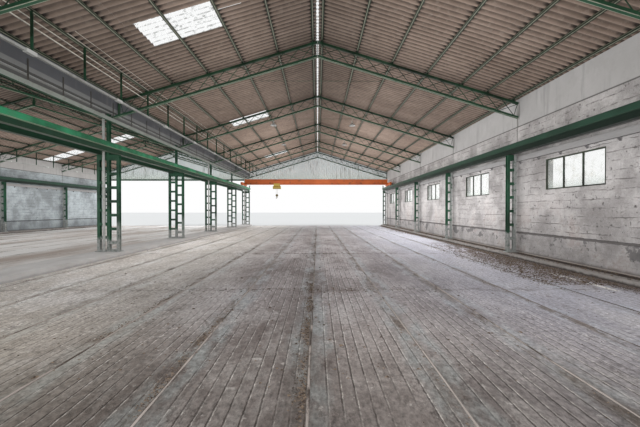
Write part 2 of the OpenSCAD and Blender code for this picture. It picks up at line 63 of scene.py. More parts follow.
# The roof's own sizes: the purlins are given by their distances across from the ridge
PITCH = math.radians(16.8)
APEX_Z = FLOOR_Z + 6.635
PURLIN_H = 0.100
PURLINS = [0.125, 1.215, 2.305, 3.395, 4.485, 5.285, 6.085]
WAVE_D = 0.051
N_WAVES = 180
WAVE_L = 2 * ROOF_Y / N_WAVES
SHEET_T = 0.007
WALL_T = 0.2
OVERHANG = 0.25
GUTTER_HALF = 0.3
OVER_GUTTER = 0.06
EAVE = WALL_X - RIDGE_X + WALL_T + OVERHANG
VALLEY_EDGE = RIDGE_X - GUTTER_HALF + OVER_GUTTER
RIDGE_SLIT = 0.025
LAP = 0.26
PAST_PURLIN = 0.06
GAP = 0.001
TONE_SPREAD = 0.16


def down(across):
    """The distance down a roof slope for a distance across."""
    return across / math.cos(PITCH)


def rafter_z(across):
    """Height of the rafters' top line at a distance across from the ridge."""
    return APEX_Z - across * math.tan(PITCH)


# A sheet is six waves wide, and the slopes are covered in three rows
WAVES = 6
POINTS = 12
ROWS = [(RIDGE_SLIT, PURLINS[2]), (PURLINS[2], PURLINS[4]), (PURLINS[4], None)]
# Clear sheets: the skylights, and the strip down the left nave's outer slope
SKYLIGHT_S = down(PURLINS[2]) + 0.03
SKYLIGHT_L = 1.80
STRIP_S = down(PURLINS[0]) + PAST_PURLIN
STRIP_END = down(PURLINS[6])
# Waves from the near end to the first sheet joint of each nave, and to the clear sheets
FIRST_JOINT = {1: 1, -1: 5}
SKYLIGHT_WAVES = [43, 91, 151]
STRIP_WAVE = 137
# A crack in the sheet above the first skylight: waves from the near end, and where it starts down the slope
CRACK_WAVE = 45.5
CRACK_S = 1.82
CRACK_HALF = 0.013

# The floor: strips between raised joints, their grooves, and the first dirty seam across the hall
STRIP_W = 1.125
GROOVE_W = 0.108
FIRST_GROOVE = 0.146
LINE_SHIFT = -0.076
LINES_X = [RIDGE_X + LINE_SHIFT + STRIP_W * k for k in range(-5, 6)]
SEAM_Y = -10.05

# Heights of the walls' parts, the crane beams, the gutter's lower edge and the trays
KERB_H = 0.10
DADO_H = 0.71
PANEL_Z = FLOOR_Z + 4.0
SILL_Z = FLOOR_Z + 2.0
BEAM_FOOT_Z = FLOOR_Z + 3.114
BEAM_EDGE_Z = FLOOR_Z + 3.256
GUTTER_EDGE_Z = FLOOR_Z + 4.462
TRAY_TOP_Z = FLOOR_Z + 4.325
TRAYS_X = [RIDGE_X - PURLINS[5], -RIDGE_X - PURLINS[5]]

# The thin rods under the ridges: how far each hangs behind its frame, and how far out it reaches
STAY_AFTER = 1.60
STAY_D = PURLINS[2]
STAY_Z = rafter_z(STAY_D) + 0.044


# Camera and studio

def placed(name, data):
    """A new object in the scene."""
    thing = bpy.data.objects.new(name, data)
    scene.collection.objects.link(thing)
    return thing


def camera():
    """A 20 mm lens at eye height under the right nave's ridge, looking along the hall."""
    eye_y, eye_h, tilt_down, turn_right = -16.301, 1.40, 0.52, 0.39
    data = bpy.data.cameras.new("camera")
    data.sensor_width = 36
    data.lens = 20
    data.clip_start = 0.05
    data.clip_end = 1000
    eye = placed("camera", data)
    eye.location = (RIDGE_X, eye_y, FLOOR_Z + eye_h)
    eye.rotation_euler = (math.radians(90 - tilt_down), 0, math.radians(-turn_right))
    scene.camera = eye


def lamp(name, x, y, height, size, turn, radiance):
    """A soft rectangular lamp that no ray sees, given by its height above the floor and the brightness of its face."""
    data = bpy.data.lights.new(name, "AREA")
    data.shape = "RECTANGLE"
    data.size, data.size_y = size
    data.energy = radiance * size[0] * size[1] * math.pi
    lit = placed(name, data)
    lit.location = (x, y, FLOOR_Z + height)
    lit.rotation_euler = [math.radians(angle) for angle in turn]
    lit.visible_camera = lit.visible_glossy = lit.visible_transmission = False


def lights():
    """Daylight from the open ends, soft light under the roof and from the floor in each nave, and a weak sun."""
    span = 2 * HALL_Y - 1
    for side, towards_wall in ((1, 0.85), (-1, 0.62)):
        x = side * WALL_X / 2
        lamp("from_roof", x, 0, 4.15, (WALL_X - 2, span), (0, 0, 0), 0.55)
        lamp("from_floor", x, 0, 0.35, (WALL_X - 2, span), (180, 0, 0), 0.85)
        lamp("towards_wall", x, 0, 2.6, (4.4, span), (0, -side * 90, 0), towards_wall)
        lamp("towards_valley", x, 0, 2.6, (4.4, span), (0, side * 90, 0), 0.45)
    lamp("far_daylight", 0, HALL_Y + 0.5, 2.2, (2 * WALL_X, 4), (-90, 0, 0), 2.1)
    lamp("near_daylight", 0, -HALL_Y - 0.5, 2.2, (2 * WALL_X, 4), (90, 0, 0), 0.6)
    lamp("window_light", WALL_X - 1.6, 3.5, 2.2, (2.6, 18), (0, 0, 0), 0.9)
    lamp("window_glow", WALL_X - 2.2, 3.5, 2.0, (3.6, 17), (0, -90, 0), 0.45)
    lamp("valley_light", 2.9, -1.5, 3.0, (4.0, 15), (0, 0, 0), 0.45)
    data = bpy.data.lights.new("sun", "SUN")
    data.energy = 1.1
    data.angle = math.radians(12)
    placed("sun", data).rotation_euler = (math.radians(42), math.radians(18), math.radians(-30))


def studio():
    """Surroundings that look white and light the hall a little less, and a pale floor round it."""
    world = bpy.data.worlds.new("studio")
    scene.world = world
    world.use_nodes = True
    tree = world.node_tree
    tree.nodes.clear()
    straight, shiny, through = add(tree, "ShaderNodeLightPath",
                                   take=("Is Camera Ray", "Is Glossy Ray", "Is Transmission Ray"))
    ambient = add(tree, "ShaderNodeBackground", {"Color": (0.94, 0.97, 1.0, 1), "Strength": 0.8})
    white = add(tree, "ShaderNodeBackground", {"Color": (1, 1, 1, 1), "Strength": 1.0})
    mixed = add(tree, "ShaderNodeMixShader", {0: most(most(straight, shiny), through), 1: ambient, 2: white})
    add(tree, "ShaderNodeOutputWorld", {"Surface": mixed}, take=())

    half, low = 220.0, -0.002
    corners = [(-half, -half, low), (half, -half, low), (half, half, low), (-half, half, low)]
    ground = mesh_object("studio_floor", corners, [(0, 1, 2, 3)])
    pale = surface("studio_floor", lambda tree: {}, 0.9)
    pale.node_tree.nodes["Principled BSDF"].inputs["Base Color"].default_value = (0.78, 0.78, 0.77, 1)
    ground.data.materials.append(pale)


# Meshes

def mesh_object(name, points, faces, smooth=False, creased=False):
    """An object at the origin from points and faces; creased is smooth but for its sharp edges."""
    data = bpy.data.meshes.new(name)
    faces = faces.tolist() if isinstance(faces, np.ndarray) else faces
    data.from_pydata(np.asarray(points, float).reshape(-1, 3).tolist(), [], faces)
    data.polygons.foreach_set("use_smooth", [smooth or creased] * len(data.polygons))
    data.update()
    if creased:
        mark_creases(data)
    return placed(name, data)


def mark_creases(data, degrees=50):
    """Mark the edges where two faces meet at more than an angle as sharp."""
    count = len(data.polygons)
    normals = np.zeros(count * 3, np.float32)
    data.polygons.foreach_get("normal", normals)
    normals = normals.reshape(-1, 3)
    edges = np.zeros(len(data.loops), np.int32)
    data.loops.foreach_get("edge_index", edges)
    totals = np.zeros(count, np.int32)
    data.polygons.foreach_get("loop_total", totals)
    order = np.argsort(edges, kind="stable")
    edge, face = edges[order], np.repeat(np.arange(count), totals)[order]
    pair = np.nonzero(edge[1:] == edge[:-1])[0]
    cosines = (normals[face[pair]] * normals[face[pair + 1]]).sum(axis=1)
    sharp = np.ones(len(data.edges), bool)
    sharp[edge[pair]] = cosines < math.cos(math.radians(degrees))
    data.attributes.new("sharp_edge", "BOOLEAN", "EDGE").data.foreach_set("value", sharp)


def grid(*coordinates):
    """Points from three arrays of coordinates that spread over one another."""
    return np.stack(np.broadcast_arrays(*coordinates), axis=-1)


def shell(top, under, turned_over):
    """Points and faces of a closed thin sheet: an upper grid, a lower one, and the four edges between them."""
    rows, columns = top.shape[:2]
    n = rows * columns
    i, j = np.meshgrid(np.arange(rows - 1), np.arange(columns - 1), indexing="ij")
    first = (i * columns + j).ravel()
    quads = np.stack([first, first + 1, first + columns + 1, first + columns], axis=1)
    ring = np.concatenate([np.arange(columns), columns * np.arange(1, rows) + columns - 1,
                           n - 2 - np.arange(columns - 1), columns * np.arange(rows - 2, 0, -1)])
    after = np.roll(ring, -1)
    faces = np.concatenate([quads, quads[:, ::-1] + n, np.stack([after, ring, ring + n, after + n], axis=1)])
    return np.concatenate([top.reshape(-1, 3), under.reshape(-1, 3)]), faces[:, ::-1] if turned_over else faces


def boxes(centres, sizes):
    """Points and faces of many upright boxes, from arrays of centres and of sizes."""
    unit = np.array([[x, y, z] for x in (-.5, .5) for y in (-.5, .5) for z in (-.5, .5)])
    quads = np.array([[0, 1, 3, 2], [4, 6, 7, 5], [0, 4, 5, 1], [2, 3, 7, 6], [0, 2, 6, 4], [1, 5, 7, 3]])
    centres, sizes = np.asarray(centres, float), np.asarray(sizes, float)
    points = centres[:, None, :] + unit[None] * sizes[:, None, :]
    faces = quads[None] + 8 * np.arange(len(centres))[:, None, None]
    return points.reshape(-1, 3), faces.reshape(-1, 4)


def rods(starts, ends, radius, sides=6):
    """Points and faces of many straight round bars: each is a ring of sides points at both ends, with end caps."""
    starts, ends = np.asarray(starts, float), np.asarray(ends, float)
    along = ends - starts
    along /= np.linalg.norm(along, axis=1, keepdims=True)
    helper = np.where(np.abs(along[:, 2:3]) < 0.9, [[0, 0, 1.0]], [[1.0, 0, 0]])
    u = np.cross(along, helper)
    u /= np.linalg.norm(u, axis=1, keepdims=True)
    v = np.cross(along, u)
    t = 2 * np.pi * np.arange(sides) / sides
    ring = radius * (np.cos(t)[None, :, None] * u[:, None, :] + np.sin(t)[None, :, None] * v[:, None, :])
    points = np.concatenate([starts[:, None] + ring, ends[:, None] + ring], axis=1)
    k = np.arange(sides)
    after = (k + 1) % sides
    bar = np.stack([k, after, after + sides, k + sides], axis=1).tolist() + [k[::-1].tolist(), (k + sides).tolist()]
    faces = [[point + 2 * sides * n for point in face] for n in range(len(starts)) for face in bar]
    return points.reshape(-1, 3), faces


def turned(profile, places, sides=20):
    """Points and faces of round pieces: a closed profile of (radius, height) turned about an upright axis."""
    radius, height = np.asarray(profile, float).T[:, :, None]
    t = 2 * np.pi * np.arange(sides) / sides
    unit = grid(radius * np.cos(t), radius * np.sin(t), height).reshape(-1, 3)
    i, j = np.meshgrid(np.arange(len(profile)), np.arange(sides), indexing="ij")
    i, j = i.ravel() * sides, j.ravel()
    next_i, next_j = (i + sides) % len(unit), (j + 1) % sides
    quads = np.stack([i + j, i + next_j, next_i + next_j, next_i + j], axis=1)
    faces = quads[None] + len(unit) * np.arange(len(places))[:, None, None]
    return (unit[None] + places[:, None, :]).reshape(-1, 3), faces.reshape(-1, 4)


def join(parts):
    """One set of points and faces from several."""
    points, faces, start = [], [], 0
    for p, f in parts:
        points.append(np.asarray(p, float).reshape(-1, 3))
        faces += [[v + start for v in face] for face in (f.tolist() if isinstance(f, np.ndarray) else f)]
        start += len(points[-1])
    return np.concatenate(points), faces


# Roof

def slope_point(side, wall_side, s, y, n):
    """A point on a roof slope: s down from the ridge, n square to the rafters' top line."""
    out = 1 if wall_side else -1
    x = RIDGE_X + out * (s * math.cos(PITCH) + n * math.sin(PITCH))
    return grid(side * x, y, APEX_Z - s * math.sin(PITCH) + n * math.cos(PITCH))


def wave(y):
    """The sheets' wave: a sine along the hall, from 0 to the wave's depth less the sheet's thickness."""
    return (WAVE_D - SHEET_T) * (0.5 - 0.5 * np.cos(2 * np.pi * (y + ROOF_Y) / WAVE_L))


def wave_y(count):
    """The place along the hall after a number of waves from the near end."""
    return -ROOF_Y + count * WAVE_L


def sheet_shell(side, wall_side, s0, s1, y0, y1, lift=0.0):
    """A wavy sheet: its underside is the wave plus a lift that grows evenly from 0 at s0 to its whole at s1."""
    s = np.linspace(s0, s1, 3)[:, None]
    y = np.linspace(y0, y1, max(3, int(round((y1 - y0) / WAVE_L * POINTS)) + 1))[None, :]
    low = PURLIN_H + lift * (s - s0) / (s1 - s0) + wave(y)
    return shell(slope_point(side, wall_side, s, y, low + SHEET_T), slope_point(side, wall_side, s, y, low),
                 (side > 0) == wall_side)


def roof_slope(name, side, wall_side, clear, tone_shift):
    """One slope of sheets in three rows, each row's lower edge lying on the next one's upper edge.

    clear gives the first waves of the clear sheets, which leave the middle row, or all rows on a wall side, open.
    """
    joints = [0, *range(FIRST_JOINT[side], N_WAVES, WAVES), N_WAVES]
    parts, tones = [], []

    def lay(s0, s1, y0, y1, lift=0.0):
        """Add one sheet with its tone."""
        parts.append(sheet_shell(side, wall_side, s0, s1, y0, y1, lift))
        tones.append(np.full(len(parts[-1][0]), tone))

    for row, (first_d, last_d) in enumerate(ROWS):
        s0 = down(first_d) - (LAP if row else PURLIN_H * math.tan(PITCH))
        if last_d is None:
            s1, lift = down(EAVE if wall_side else VALLEY_EDGE), 0.0
        else:
            s1, lift = down(last_d) + PAST_PURLIN, SHEET_T + GAP
        for first, after in zip(joints, joints[1:]):
            tone = draw.normal(tone_shift, TONE_SPREAD)
            y0, y1 = wave_y(first), wave_y(after)
            if first in clear and wall_side:
                if row == 0:
                    lay(s0, STRIP_S, y0, y1)
                elif row == 2:
                    lay(STRIP_END, s1, y0, y1)
            elif first in clear and row == 1:
                lay(SKYLIGHT_S + SKYLIGHT_L, s1, y0, y1, lift)
            elif row == 0 and side > 0 and not wall_side and first < CRACK_WAVE < after:
                lay(s0, CRACK_S, y0, y1)
                lay(CRACK_S, s1, y0, wave_y(CRACK_WAVE) - CRACK_HALF, lift)
                lay(CRACK_S, s1, wave_y(CRACK_WAVE) + CRACK_HALF, y1, lift)
            else:
                lay(s0, s1, y0, y1, lift)
    slope = mesh_object(name, *join(parts), creased=True)
    values = np.concatenate(tones).astype(np.float32)
    slope.data.attributes.new("tone", "FLOAT", "POINT").data.foreach_set("value", values)
    return slope


def swept(side, wall_side, s, profile, y0, y1):
    """A closed profile of (down the slope, square to it) points round a place s, carried along the hall."""
    profile = np.asarray(profile, float)
    n = len(profile)
    points = slope_point(side, wall_side, s + np.tile(profile[:, 0], 2), np.repeat([y0, y1], n),
                         np.tile(profile[:, 1], 2))
    k = np.arange(n)
    after = (k + 1) % n
    faces = np.stack([after, k, k + n, after + n], axis=1).tolist() + [k.tolist(), (k[::-1] + n).tolist()]
    return points, [face[::-1] for face in faces] if (side > 0) != wall_side else faces


def purlins(name, side):
    """A nave's purlins: slim channels, about 60 by 51 mm and open towards the ridge, on small blocks at the rafters."""
    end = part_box(name)[1].y
    half, metal, block_half, block_l = 0.0295, 0.006, 0.025, 0.06
    foot, low, high = 0.0005, 0.048, PURLIN_H - 0.0005
    channel = [(-half, low), (half, low), (half, high), (-half, high), (-half, high - metal),
               (half - metal, high - metal), (half - metal, low + metal), (-half, low + metal)]
    block = [(-block_half, foot), (block_half, foot), (block_half, low + 0.001), (-block_half, low + 0.001)]
    parts = []
    for wall_side in (True, False):
        for d in PURLINS:
            parts.append(swept(side, wall_side, down(d), channel, -end, end))
            parts += [swept(side, wall_side, down(d), block, y - block_l / 2, y + block_l / 2) for y in FRAMES_Y]
    return mesh_object("slim_" + name, *join(parts))


def clear_sheets():
    """The three skylights, and the clear strip down the left nave's outer slope, all with the same waves."""
    parts = [sheet_shell(1, False, SKYLIGHT_S, SKYLIGHT_S + SKYLIGHT_L, wave_y(w), wave_y(w + WAVES))
             for w in SKYLIGHT_WAVES]
    parts.append(sheet_shell(-1, True, STRIP_S, STRIP_END, wave_y(STRIP_WAVE), wave_y(STRIP_WAVE + WAVES)))
    return mesh_object("clear_sheets", *join(parts), creased=True)


def ridge_cover(side, half=0.29, round_off=0.035):
    """The ridge pieces of one nave: the sheets' wave at both lower edges, turning into a smooth round crest between.

    Across the ridge u runs from -1 to 1. The wave fades with 1 - u*u, and the two slopes meet in a parabola.
    """
    u = np.linspace(-1, 1, 11)[:, None]
    y = np.linspace(-ROOF_Y, ROOF_Y, N_WAVES * 8 + 1)[None, :]
    height = down(PURLIN_H + WAVE_D + GAP - (WAVE_D - SHEET_T - wave(y)) * u ** 2)
    z = rafter_z(np.abs(half * u)) + height - round_off * (1 - np.abs(u)) ** 2
    x = side * (RIDGE_X + half * u)
    return shell(grid(x, y, z + SHEET_T), grid(x, y, z), side > 0)


def ridge_covers():
    """Both naves' ridge pieces."""
    return mesh_object("ridge_covers", *join([ridge_cover(1), ridge_cover(-1)]), creased=True)


def gable_sheets(name, node):
    """Corrugated sheets that close both gables of one end: waves run up, and the top edge follows the roof."""
    low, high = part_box(node)
    depth = (high.y - low.y - SHEET_T) / 2 - GAP
    x = np.linspace(0.002, WALL_X - 0.002, 72 * 8 + 1)[None, :]
    top = APEX_Z + down(PURLIN_H) - np.abs(x - RIDGE_X) * math.tan(PITCH) - GAP
    z = low.z + (top - low.z) * np.linspace(0, 1, 3)[:, None]
    y = (low.y + high.y) / 2 + depth * np.cos(2 * np.pi * x / WAVE_L)
    parts = [shell(grid(side * x, y - SHEET_T / 2, z), grid(side * x, y + SHEET_T / 2, z), side < 0)
             for side in (1, -1)]
    return mesh_object(name, *join(parts), creased=True)


# Floor

def slow_noise(count, steps, size):
    """Smooth random values along a line: random knots every few steps, joined by half cosines."""
    knots = draw.normal(0, size, count // steps + 3)
    place = np.arange(count) / steps
    k = place.astype(int)
    f = 0.5 - 0.5 * np.cos(np.pi * (place - k))
    return knots[k] * (1 - f) + knots[k + 1] * f


def floor_lines(count=430):
    """Raised joints along the floor: a low round ridge whose middle, width and height wander."""
    y = np.linspace(-HALL_Y + 0.01, HALL_Y - 0.01, count)
    across = np.array([-1.0, -0.6, 0.0, 0.6, 1.0])[:, None]
    parts = []
    for side in (1, -1):
        for line in LINES_X:
            middle = line + slow_noise(count, 14, 0.005)
            half = np.clip(0.0085 + slow_noise(count, 4, 0.0020), 0.003, 0.014)
            high = np.clip(0.006 + slow_noise(count, 7, 0.0030), 0.0005, 0.013)
            x = side * (middle + half * across)
            top = grid(x, y, FLOOR_Z + high * (1 - across ** 2) + 0.0002)
            parts.append(shell(top, grid(x, y, FLOOR_Z - 0.002), side > 0))
    return mesh_object("floor_lines", *join(parts), smooth=True)


def flakes(x, y, z, size, flat):
    """Many small flattened four-faced chips at places given by three arrays, each turned and sized at random."""
    places = grid(x, y, z)
    count = len(places)
    unit = np.array([[1, 0, 0], [-0.5, 0.8, 0], [-0.5, -0.8, 0], [0, 0, 1.0]])
    turn = draw.uniform(0, 2 * np.pi, count)[:, None]
    grow = size * draw.lognormal(0, 0.45, count)[:, None]
    c, s = np.cos(turn), np.sin(turn)
    points = grid((unit[:, 0] * c - unit[:, 1] * s) * grow, (unit[:, 0] * s + unit[:, 1] * c) * grow,
                  unit[:, 2] * grow * flat) + places[:, None, :]
    faces = np.array([[0, 2, 1], [0, 1, 3], [1, 2, 3], [2, 0, 3]])[None] + 4 * np.arange(count)[:, None, None]
    return points.reshape(-1, 3), faces.reshape(-1, 3)


def litter():
    """Dry leaves and crumbs: in drifts by the walls' kerbs, along the floor's raised joints, and a few anywhere.

    A drift's density rises and falls along the hall, and each chip's distance from the kerb is half a bell curve.
    """
    parts = []
    inside = HALL_Y - 0.05
    # Drifts on the floor by both kerbs, and leaves on the kerbs
    for side, many in ((1, 9000), (-1, 1500)):
        y = draw.uniform(-inside, inside, many)
        drift = 0.10 + 0.30 * np.clip(np.sin(0.42 * y + 4.6) + 0.35 * np.sin(1.7 * y), 0, 1)
        x = side * (WALL_X - 0.485 - np.abs(draw.normal(0, 1, many)) * drift)
        parts.append(flakes(x, y, FLOOR_Z, 0.013, 0.45))
        many //= 3
        y = draw.uniform(-inside, inside, many)
        x = side * draw.uniform(WALL_X - 0.44, WALL_X - 0.05, many)
        parts.append(flakes(x, y, FLOOR_Z + KERB_H, 0.013, 0.5))
    # The broad drift by the right wall
    many = 7000
    y = -9.7 + draw.beta(1.1, 2.0, many) * 8.5
    x = WALL_X - 0.60 - draw.beta(1.0, 1.5, many) * 1.5
    parts.append(flakes(x, y, FLOOR_Z, 0.014, 0.4))
    # Crumbs in broken rows beside three of the raised joints near the camera
    for line, many, first, last in ((5, 4200, -HALL_Y, -9.5), (4, 1500, -HALL_Y, -12.0), (3, 1500, -12.5, -5.0)):
        y = draw.uniform(first, last, many)
        y = y[np.sin(5.0 * y) + np.sin(11.0 * y) > draw.normal(-0.5, 0.7, many)]
        x = LINES_X[line] - 0.018 - np.abs(draw.normal(0, 0.045, len(y)))
        parts.append(flakes(x, y, FLOOR_Z, 0.0065, 0.5))
    # On the dirty seams across the hall
    many = 900
    y = SEAM_Y + BAY * draw.integers(0, 3, many) + draw.normal(0, 0.10, many)
    parts.append(flakes(RIDGE_X + draw.normal(0, 1.1, many), y, FLOOR_Z, 0.012, 0.35))
    # Over the middle of the floor
    many = 1600
    x = np.clip(RIDGE_X + draw.normal(-0.8, 2.2, many), 0.6, WALL_X - 0.6)
    parts.append(flakes(x, draw.uniform(-13.5, -2.0, many), FLOOR_Z, 0.011, 0.35))
    # Along all the raised joints of both naves, finer and coarser
    for many, wide, size in ((9000, 0.020, 0.006), (3500, 0.045, 0.009)):
        line = np.array(LINES_X)[draw.integers(0, len(LINES_X), many)]
        side = np.where(draw.uniform(size=many) < 0.75, 1, -1)
        y = draw.uniform(-inside, inside, many)
        keep = np.sin(2.1 * y + 3 * line) + np.sin(0.9 * y + line) > -0.2
        x = side * (line - side * 0.022 - side * np.abs(draw.normal(0, wide, many)))
        parts.append(flakes(x[keep], y[keep], FLOOR_Z, size, 0.5))
    # Anywhere
    many = 1500
    x = draw.uniform(0.55, WALL_X - 0.6, many) * np.where(draw.uniform(size=many) < 0.7, 1, -1)
    parts.append(flakes(x, draw.uniform(-inside, inside, many), FLOOR_Z, 0.006, 0.5))
    return mesh_object("litter", *join(parts))


# Pipes, stays, straps and lamps

def conduits():
    """Thin pipes along the right nave's valley side: one below the rafters' top chords, and three on them."""
    end, near, later = HALL_Y - 0.5, FRAMES_Y[0] + 0.1, FRAMES_Y[0] + 6.9
    runs_of_pipe = ((5.45, -0.084, 0.015, near), (5.414, 0.017, 0.012, near), (5.190, 0.008, 0.006, later),
                    (5.036, 0.007, 0.005, later))
    parts = [rods([[RIDGE_X - d, start, rafter_z(d) + lift]], [[RIDGE_X - d, end, rafter_z(d) + lift]], radius, 8)
             for d, lift, radius, start in runs_of_pipe]
    return mesh_object("conduits", *join(parts), smooth=True)


def wall_pipe():
    """A thin dark pipe along the right wall between the ledge and the crane beam."""
    x, end, z = WALL_X - 0.014, HALL_Y - 0.5, FLOOR_Z + 3.165
    return mesh_object("wall_pipe", *rods([[x, -end, z]], [[x, end, z]], 0.011), smooth=True)


def valley_strips():
    """A pale board along the underside of the gutter."""
    thick = 0.018
    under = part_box("valley_gutter")[0].z
    return mesh_object("valley_strips", *boxes([[0.120, 0, under - thick / 2]], [[0.085, 2 * HALL_Y - 1.2, thick]]))


def valley_flashing():
    """Upright sheet on both edges of the gutter, up to the sheets' underside, so that no sky shows between them."""
    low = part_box("valley_gutter")[1].z
    high = rafter_z(RIDGE_X - 0.297) + down(PURLIN_H) - 0.004
    centres = [[side * 0.2965, 0, (low + high) / 2] for side in (1, -1)]
    return mesh_object("valley_flashing", *boxes(centres, [[0.005, 2 * HALL_Y - 0.9, high - low - GAP]] * 2))


def tray_hangers():
    """Flat faces across the tray's hangers, from the tray up to the purlin, so that they show their full width."""
    low, high = TRAY_TOP_Z + 0.002, rafter_z(PURLINS[5]) + 0.050
    first, pitch, count, clear, before = FRAMES_Y[0] + 0.11, 1.5, 21, 0.08, 0.0235
    places = [y for y in first + pitch * np.arange(count) if min(abs(y - f) for f in FRAMES_Y) > clear]
    centres = [[x, y - before, (low + high) / 2] for y in places for x in TRAYS_X]
    return mesh_object("tray_hangers", *boxes(centres, [[0.055, 0.006, high - low]] * len(centres)))


def tray_joints():
    """Joint plates on the trays, one at every second hanger, each a sleeve round the tray."""
    first, pitch, end, middle_z = -12.61, 2.91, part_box("cable_trays")[1].y - 0.2, TRAY_TOP_Z - 0.022
    centres = [[x, y, middle_z] for x in TRAYS_X for y in first + pitch * np.arange(11) if y < end]
    return mesh_object("tray_joints", *boxes(centres, [[0.080, 0.24, 0.070]] * len(centres)))


def stays():
    """A thin rod across under each ridge in every bay, from purlin to purlin, and upright rods by both side walls."""
    low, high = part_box("right_crane_beams")[1].z - 0.28, FLOOR_Z + 4.30
    off_wall, past_frame = 0.018, 0.03
    across = [[side * RIDGE_X, y + STAY_AFTER, STAY_Z] for y in FRAMES_Y[:-1] for side in (1, -1)]
    upright = [[side * (WALL_X - off_wall), y + past_frame] for y in FRAMES_Y[1:-1] for side in (1, -1)]
    starts = [[x - STAY_D, y, z] for x, y, z in across] + [[x, y, low] for x, y in upright]
    ends = [[x + STAY_D, y, z] for x, y, z in across] + [[x, y, high] for x, y in upright]
    return mesh_object("stays", *rods(starts, ends, 0.006), smooth=True)


def pendant_lamps():
    """Enamelled reflectors under the stays: a thin shell between two cones, a round socket and a short rod.

    Two bays have them on both sides of the right ridge and on one side of the left.
    """
    hung = [(RIDGE_X + 1.74, 3), (RIDGE_X - 2.20, 3), (RIDGE_X + 1.74, 4), (RIDGE_X - 2.20, 4),
            (-RIDGE_X - 1.74, 3), (-RIDGE_X - 1.74, 4)]
    places = np.array([[x, FRAMES_Y[frame_no] + STAY_AFTER, STAY_Z - 0.004] for x, frame_no in hung])
    reflector = [(0.030, -0.20), (0.045, -0.205), (0.150, -0.300), (0.160, -0.335), (0.152, -0.335),
                 (0.140, -0.304), (0.040, -0.215), (0.024, -0.212)]
    socket = [(0.004, -0.10), (0.030, -0.11), (0.034, -0.20), (0.030, -0.26), (0.004, -0.262)]
    parts = [turned(reflector, places), turned(socket, places, 12), rods(places, places + [0, 0, -0.12], 0.006)]
    return mesh_object("pendant_lamps", *join(parts), creased=True)


# Node trees

class Value:
    """What a node puts out; sums, products and the like of it are made by further nodes."""

    def __init__(self, socket):
        self.socket = socket
        self.tree = socket.id_data

    def __add__(self, other):
        return step("ADD", self, other)

    def __sub__(self, other):
        return step("SUBTRACT", self, other)

    def __rsub__(self, other):
        return step("SUBTRACT", other, self)

    def __mul__(self, other):
        return step("MULTIPLY", self, other)

    def __truediv__(self, other):
        return step("DIVIDE", self, other)

    def __abs__(self):
        return step("ABSOLUTE", self)

    __radd__ = __add__
    __rmul__ = __mul__


def add(tree, kind, inputs=None, take=0, **settings):
    """What a new node puts out under a number or name, or a list for several of them.

    A named or numbered input gets a link if it is another node's value, and else that value itself.
    """
    made = tree.nodes.new(kind)
    for key, value in settings.items():
        setattr(made, key, value)
    for key, value in (inputs or {}).items():
        if isinstance(value, Value):
            tree.links.new(value.socket, made.inputs[key])
        else:
            made.inputs[key].default_value = value
    if isinstance(take, tuple):
        return [Value(made.outputs[key]) for key in take]
    return Value(made.outputs[take])


def step(operation, a, b=0.0):
    """One step of arithmetic."""
    tree = a.tree if isinstance(a, Value) else b.tree
    return add(tree, "ShaderNodeMath", {0: a, 1: b}, operation=operation)


def most(a, b):
    """The greater of two."""
    return step("MAXIMUM", a, b)


def least(a, b):
    """The smaller of two."""
    return step("MINIMUM", a, b)


def fraction(a):
    """What is left after the whole part."""
    return step("FRACT", a)


def to_and_fro(a, turn):
    """A value that runs up from 0 to turn, down again, and so on."""
    return step("PINGPONG", a, turn)


def held(a):
    """A sum or product, kept between 0 and 1."""
    a.socket.node.use_clamp = True
    return a


def blend(share, a, b, kind="MIX"):
    """Colour a turning into colour b as share goes from 0 to 1."""
    tree = next(c.tree for c in (share, a, b) if isinstance(c, Value))
    a, b = ((*c, 1) if isinstance(c, tuple) else c for c in (a, b))
    return add(tree, "ShaderNodeMix", {0: share, 6: a, 7: b}, take=2, data_type="RGBA", blend_type=kind)


def tinted(colour, *gains):
    """A colour whose red, green and blue are each multiplied."""
    tint = add(colour.tree, "ShaderNodeCombineColor", dict(enumerate(gains)))
    return blend(1.0, colour, tint, "MULTIPLY")


def rise(value, low, high):
    """0 below low and 1 above high, with a soft step between; high below low turns it round."""
    return add(value.tree, "ShaderNodeMapRange", {"Value": value, "From Min": low, "From Max": high},
               interpolation_type="SMOOTHSTEP")


def ramp(value, first, last, low=0.0, high=1.0):
    """An even change from first at low to last at high."""
    return add(value.tree, "ShaderNodeMapRange",
               {"Value": value, "From Min": low, "From Max": high, "To Min": first, "To Max": last})


def noise(place, scale, detail=4.0, rough=0.55):
    """Cloudy noise between about 0.3 and 0.7."""
    return add(place.tree, "ShaderNodeTexNoise",
               {"Vector": place, "Scale": scale, "Detail": detail, "Roughness": rough})


def swing(width, place, scale, detail=4.0, rough=0.55):
    """Noise about zero, of a given width."""
    return (noise(place, scale, detail, rough) - 0.5) * width


def stretched(place, *factors):
    """A place with each axis multiplied, so that noise on it is drawn out along the small ones."""
    return add(place.tree, "ShaderNodeVectorMath", {0: place, 1: factors}, operation="MULTIPLY")


def bricks(along, up, length, height, gap):
    """A tone for each brick of a bond, and the gaps between them."""
    flat = add(along.tree, "ShaderNodeCombineXYZ", {0: along, 1: up})
    colour, gaps = add(along.tree, "ShaderNodeTexBrick",
                       {"Vector": flat, "Color1": (0, 0, 0, 1), "Color2": (1, 1, 1, 1), "Scale": 1.0,
                        "Mortar Size": gap, "Mortar Smooth": 1.0, "Bias": 0.0, "Brick Width": length,
                        "Row Height": height}, take=("Color", "Fac"))
    return add(along.tree, "ShaderNodeRGBToBW", {0: colour}), gaps


def axes(place, wanted):
    """The numbers of a place along the axes that are wanted, given by their letters."""
    return add(place.tree, "ShaderNodeSeparateXYZ", {0: place}, take=tuple(wanted))


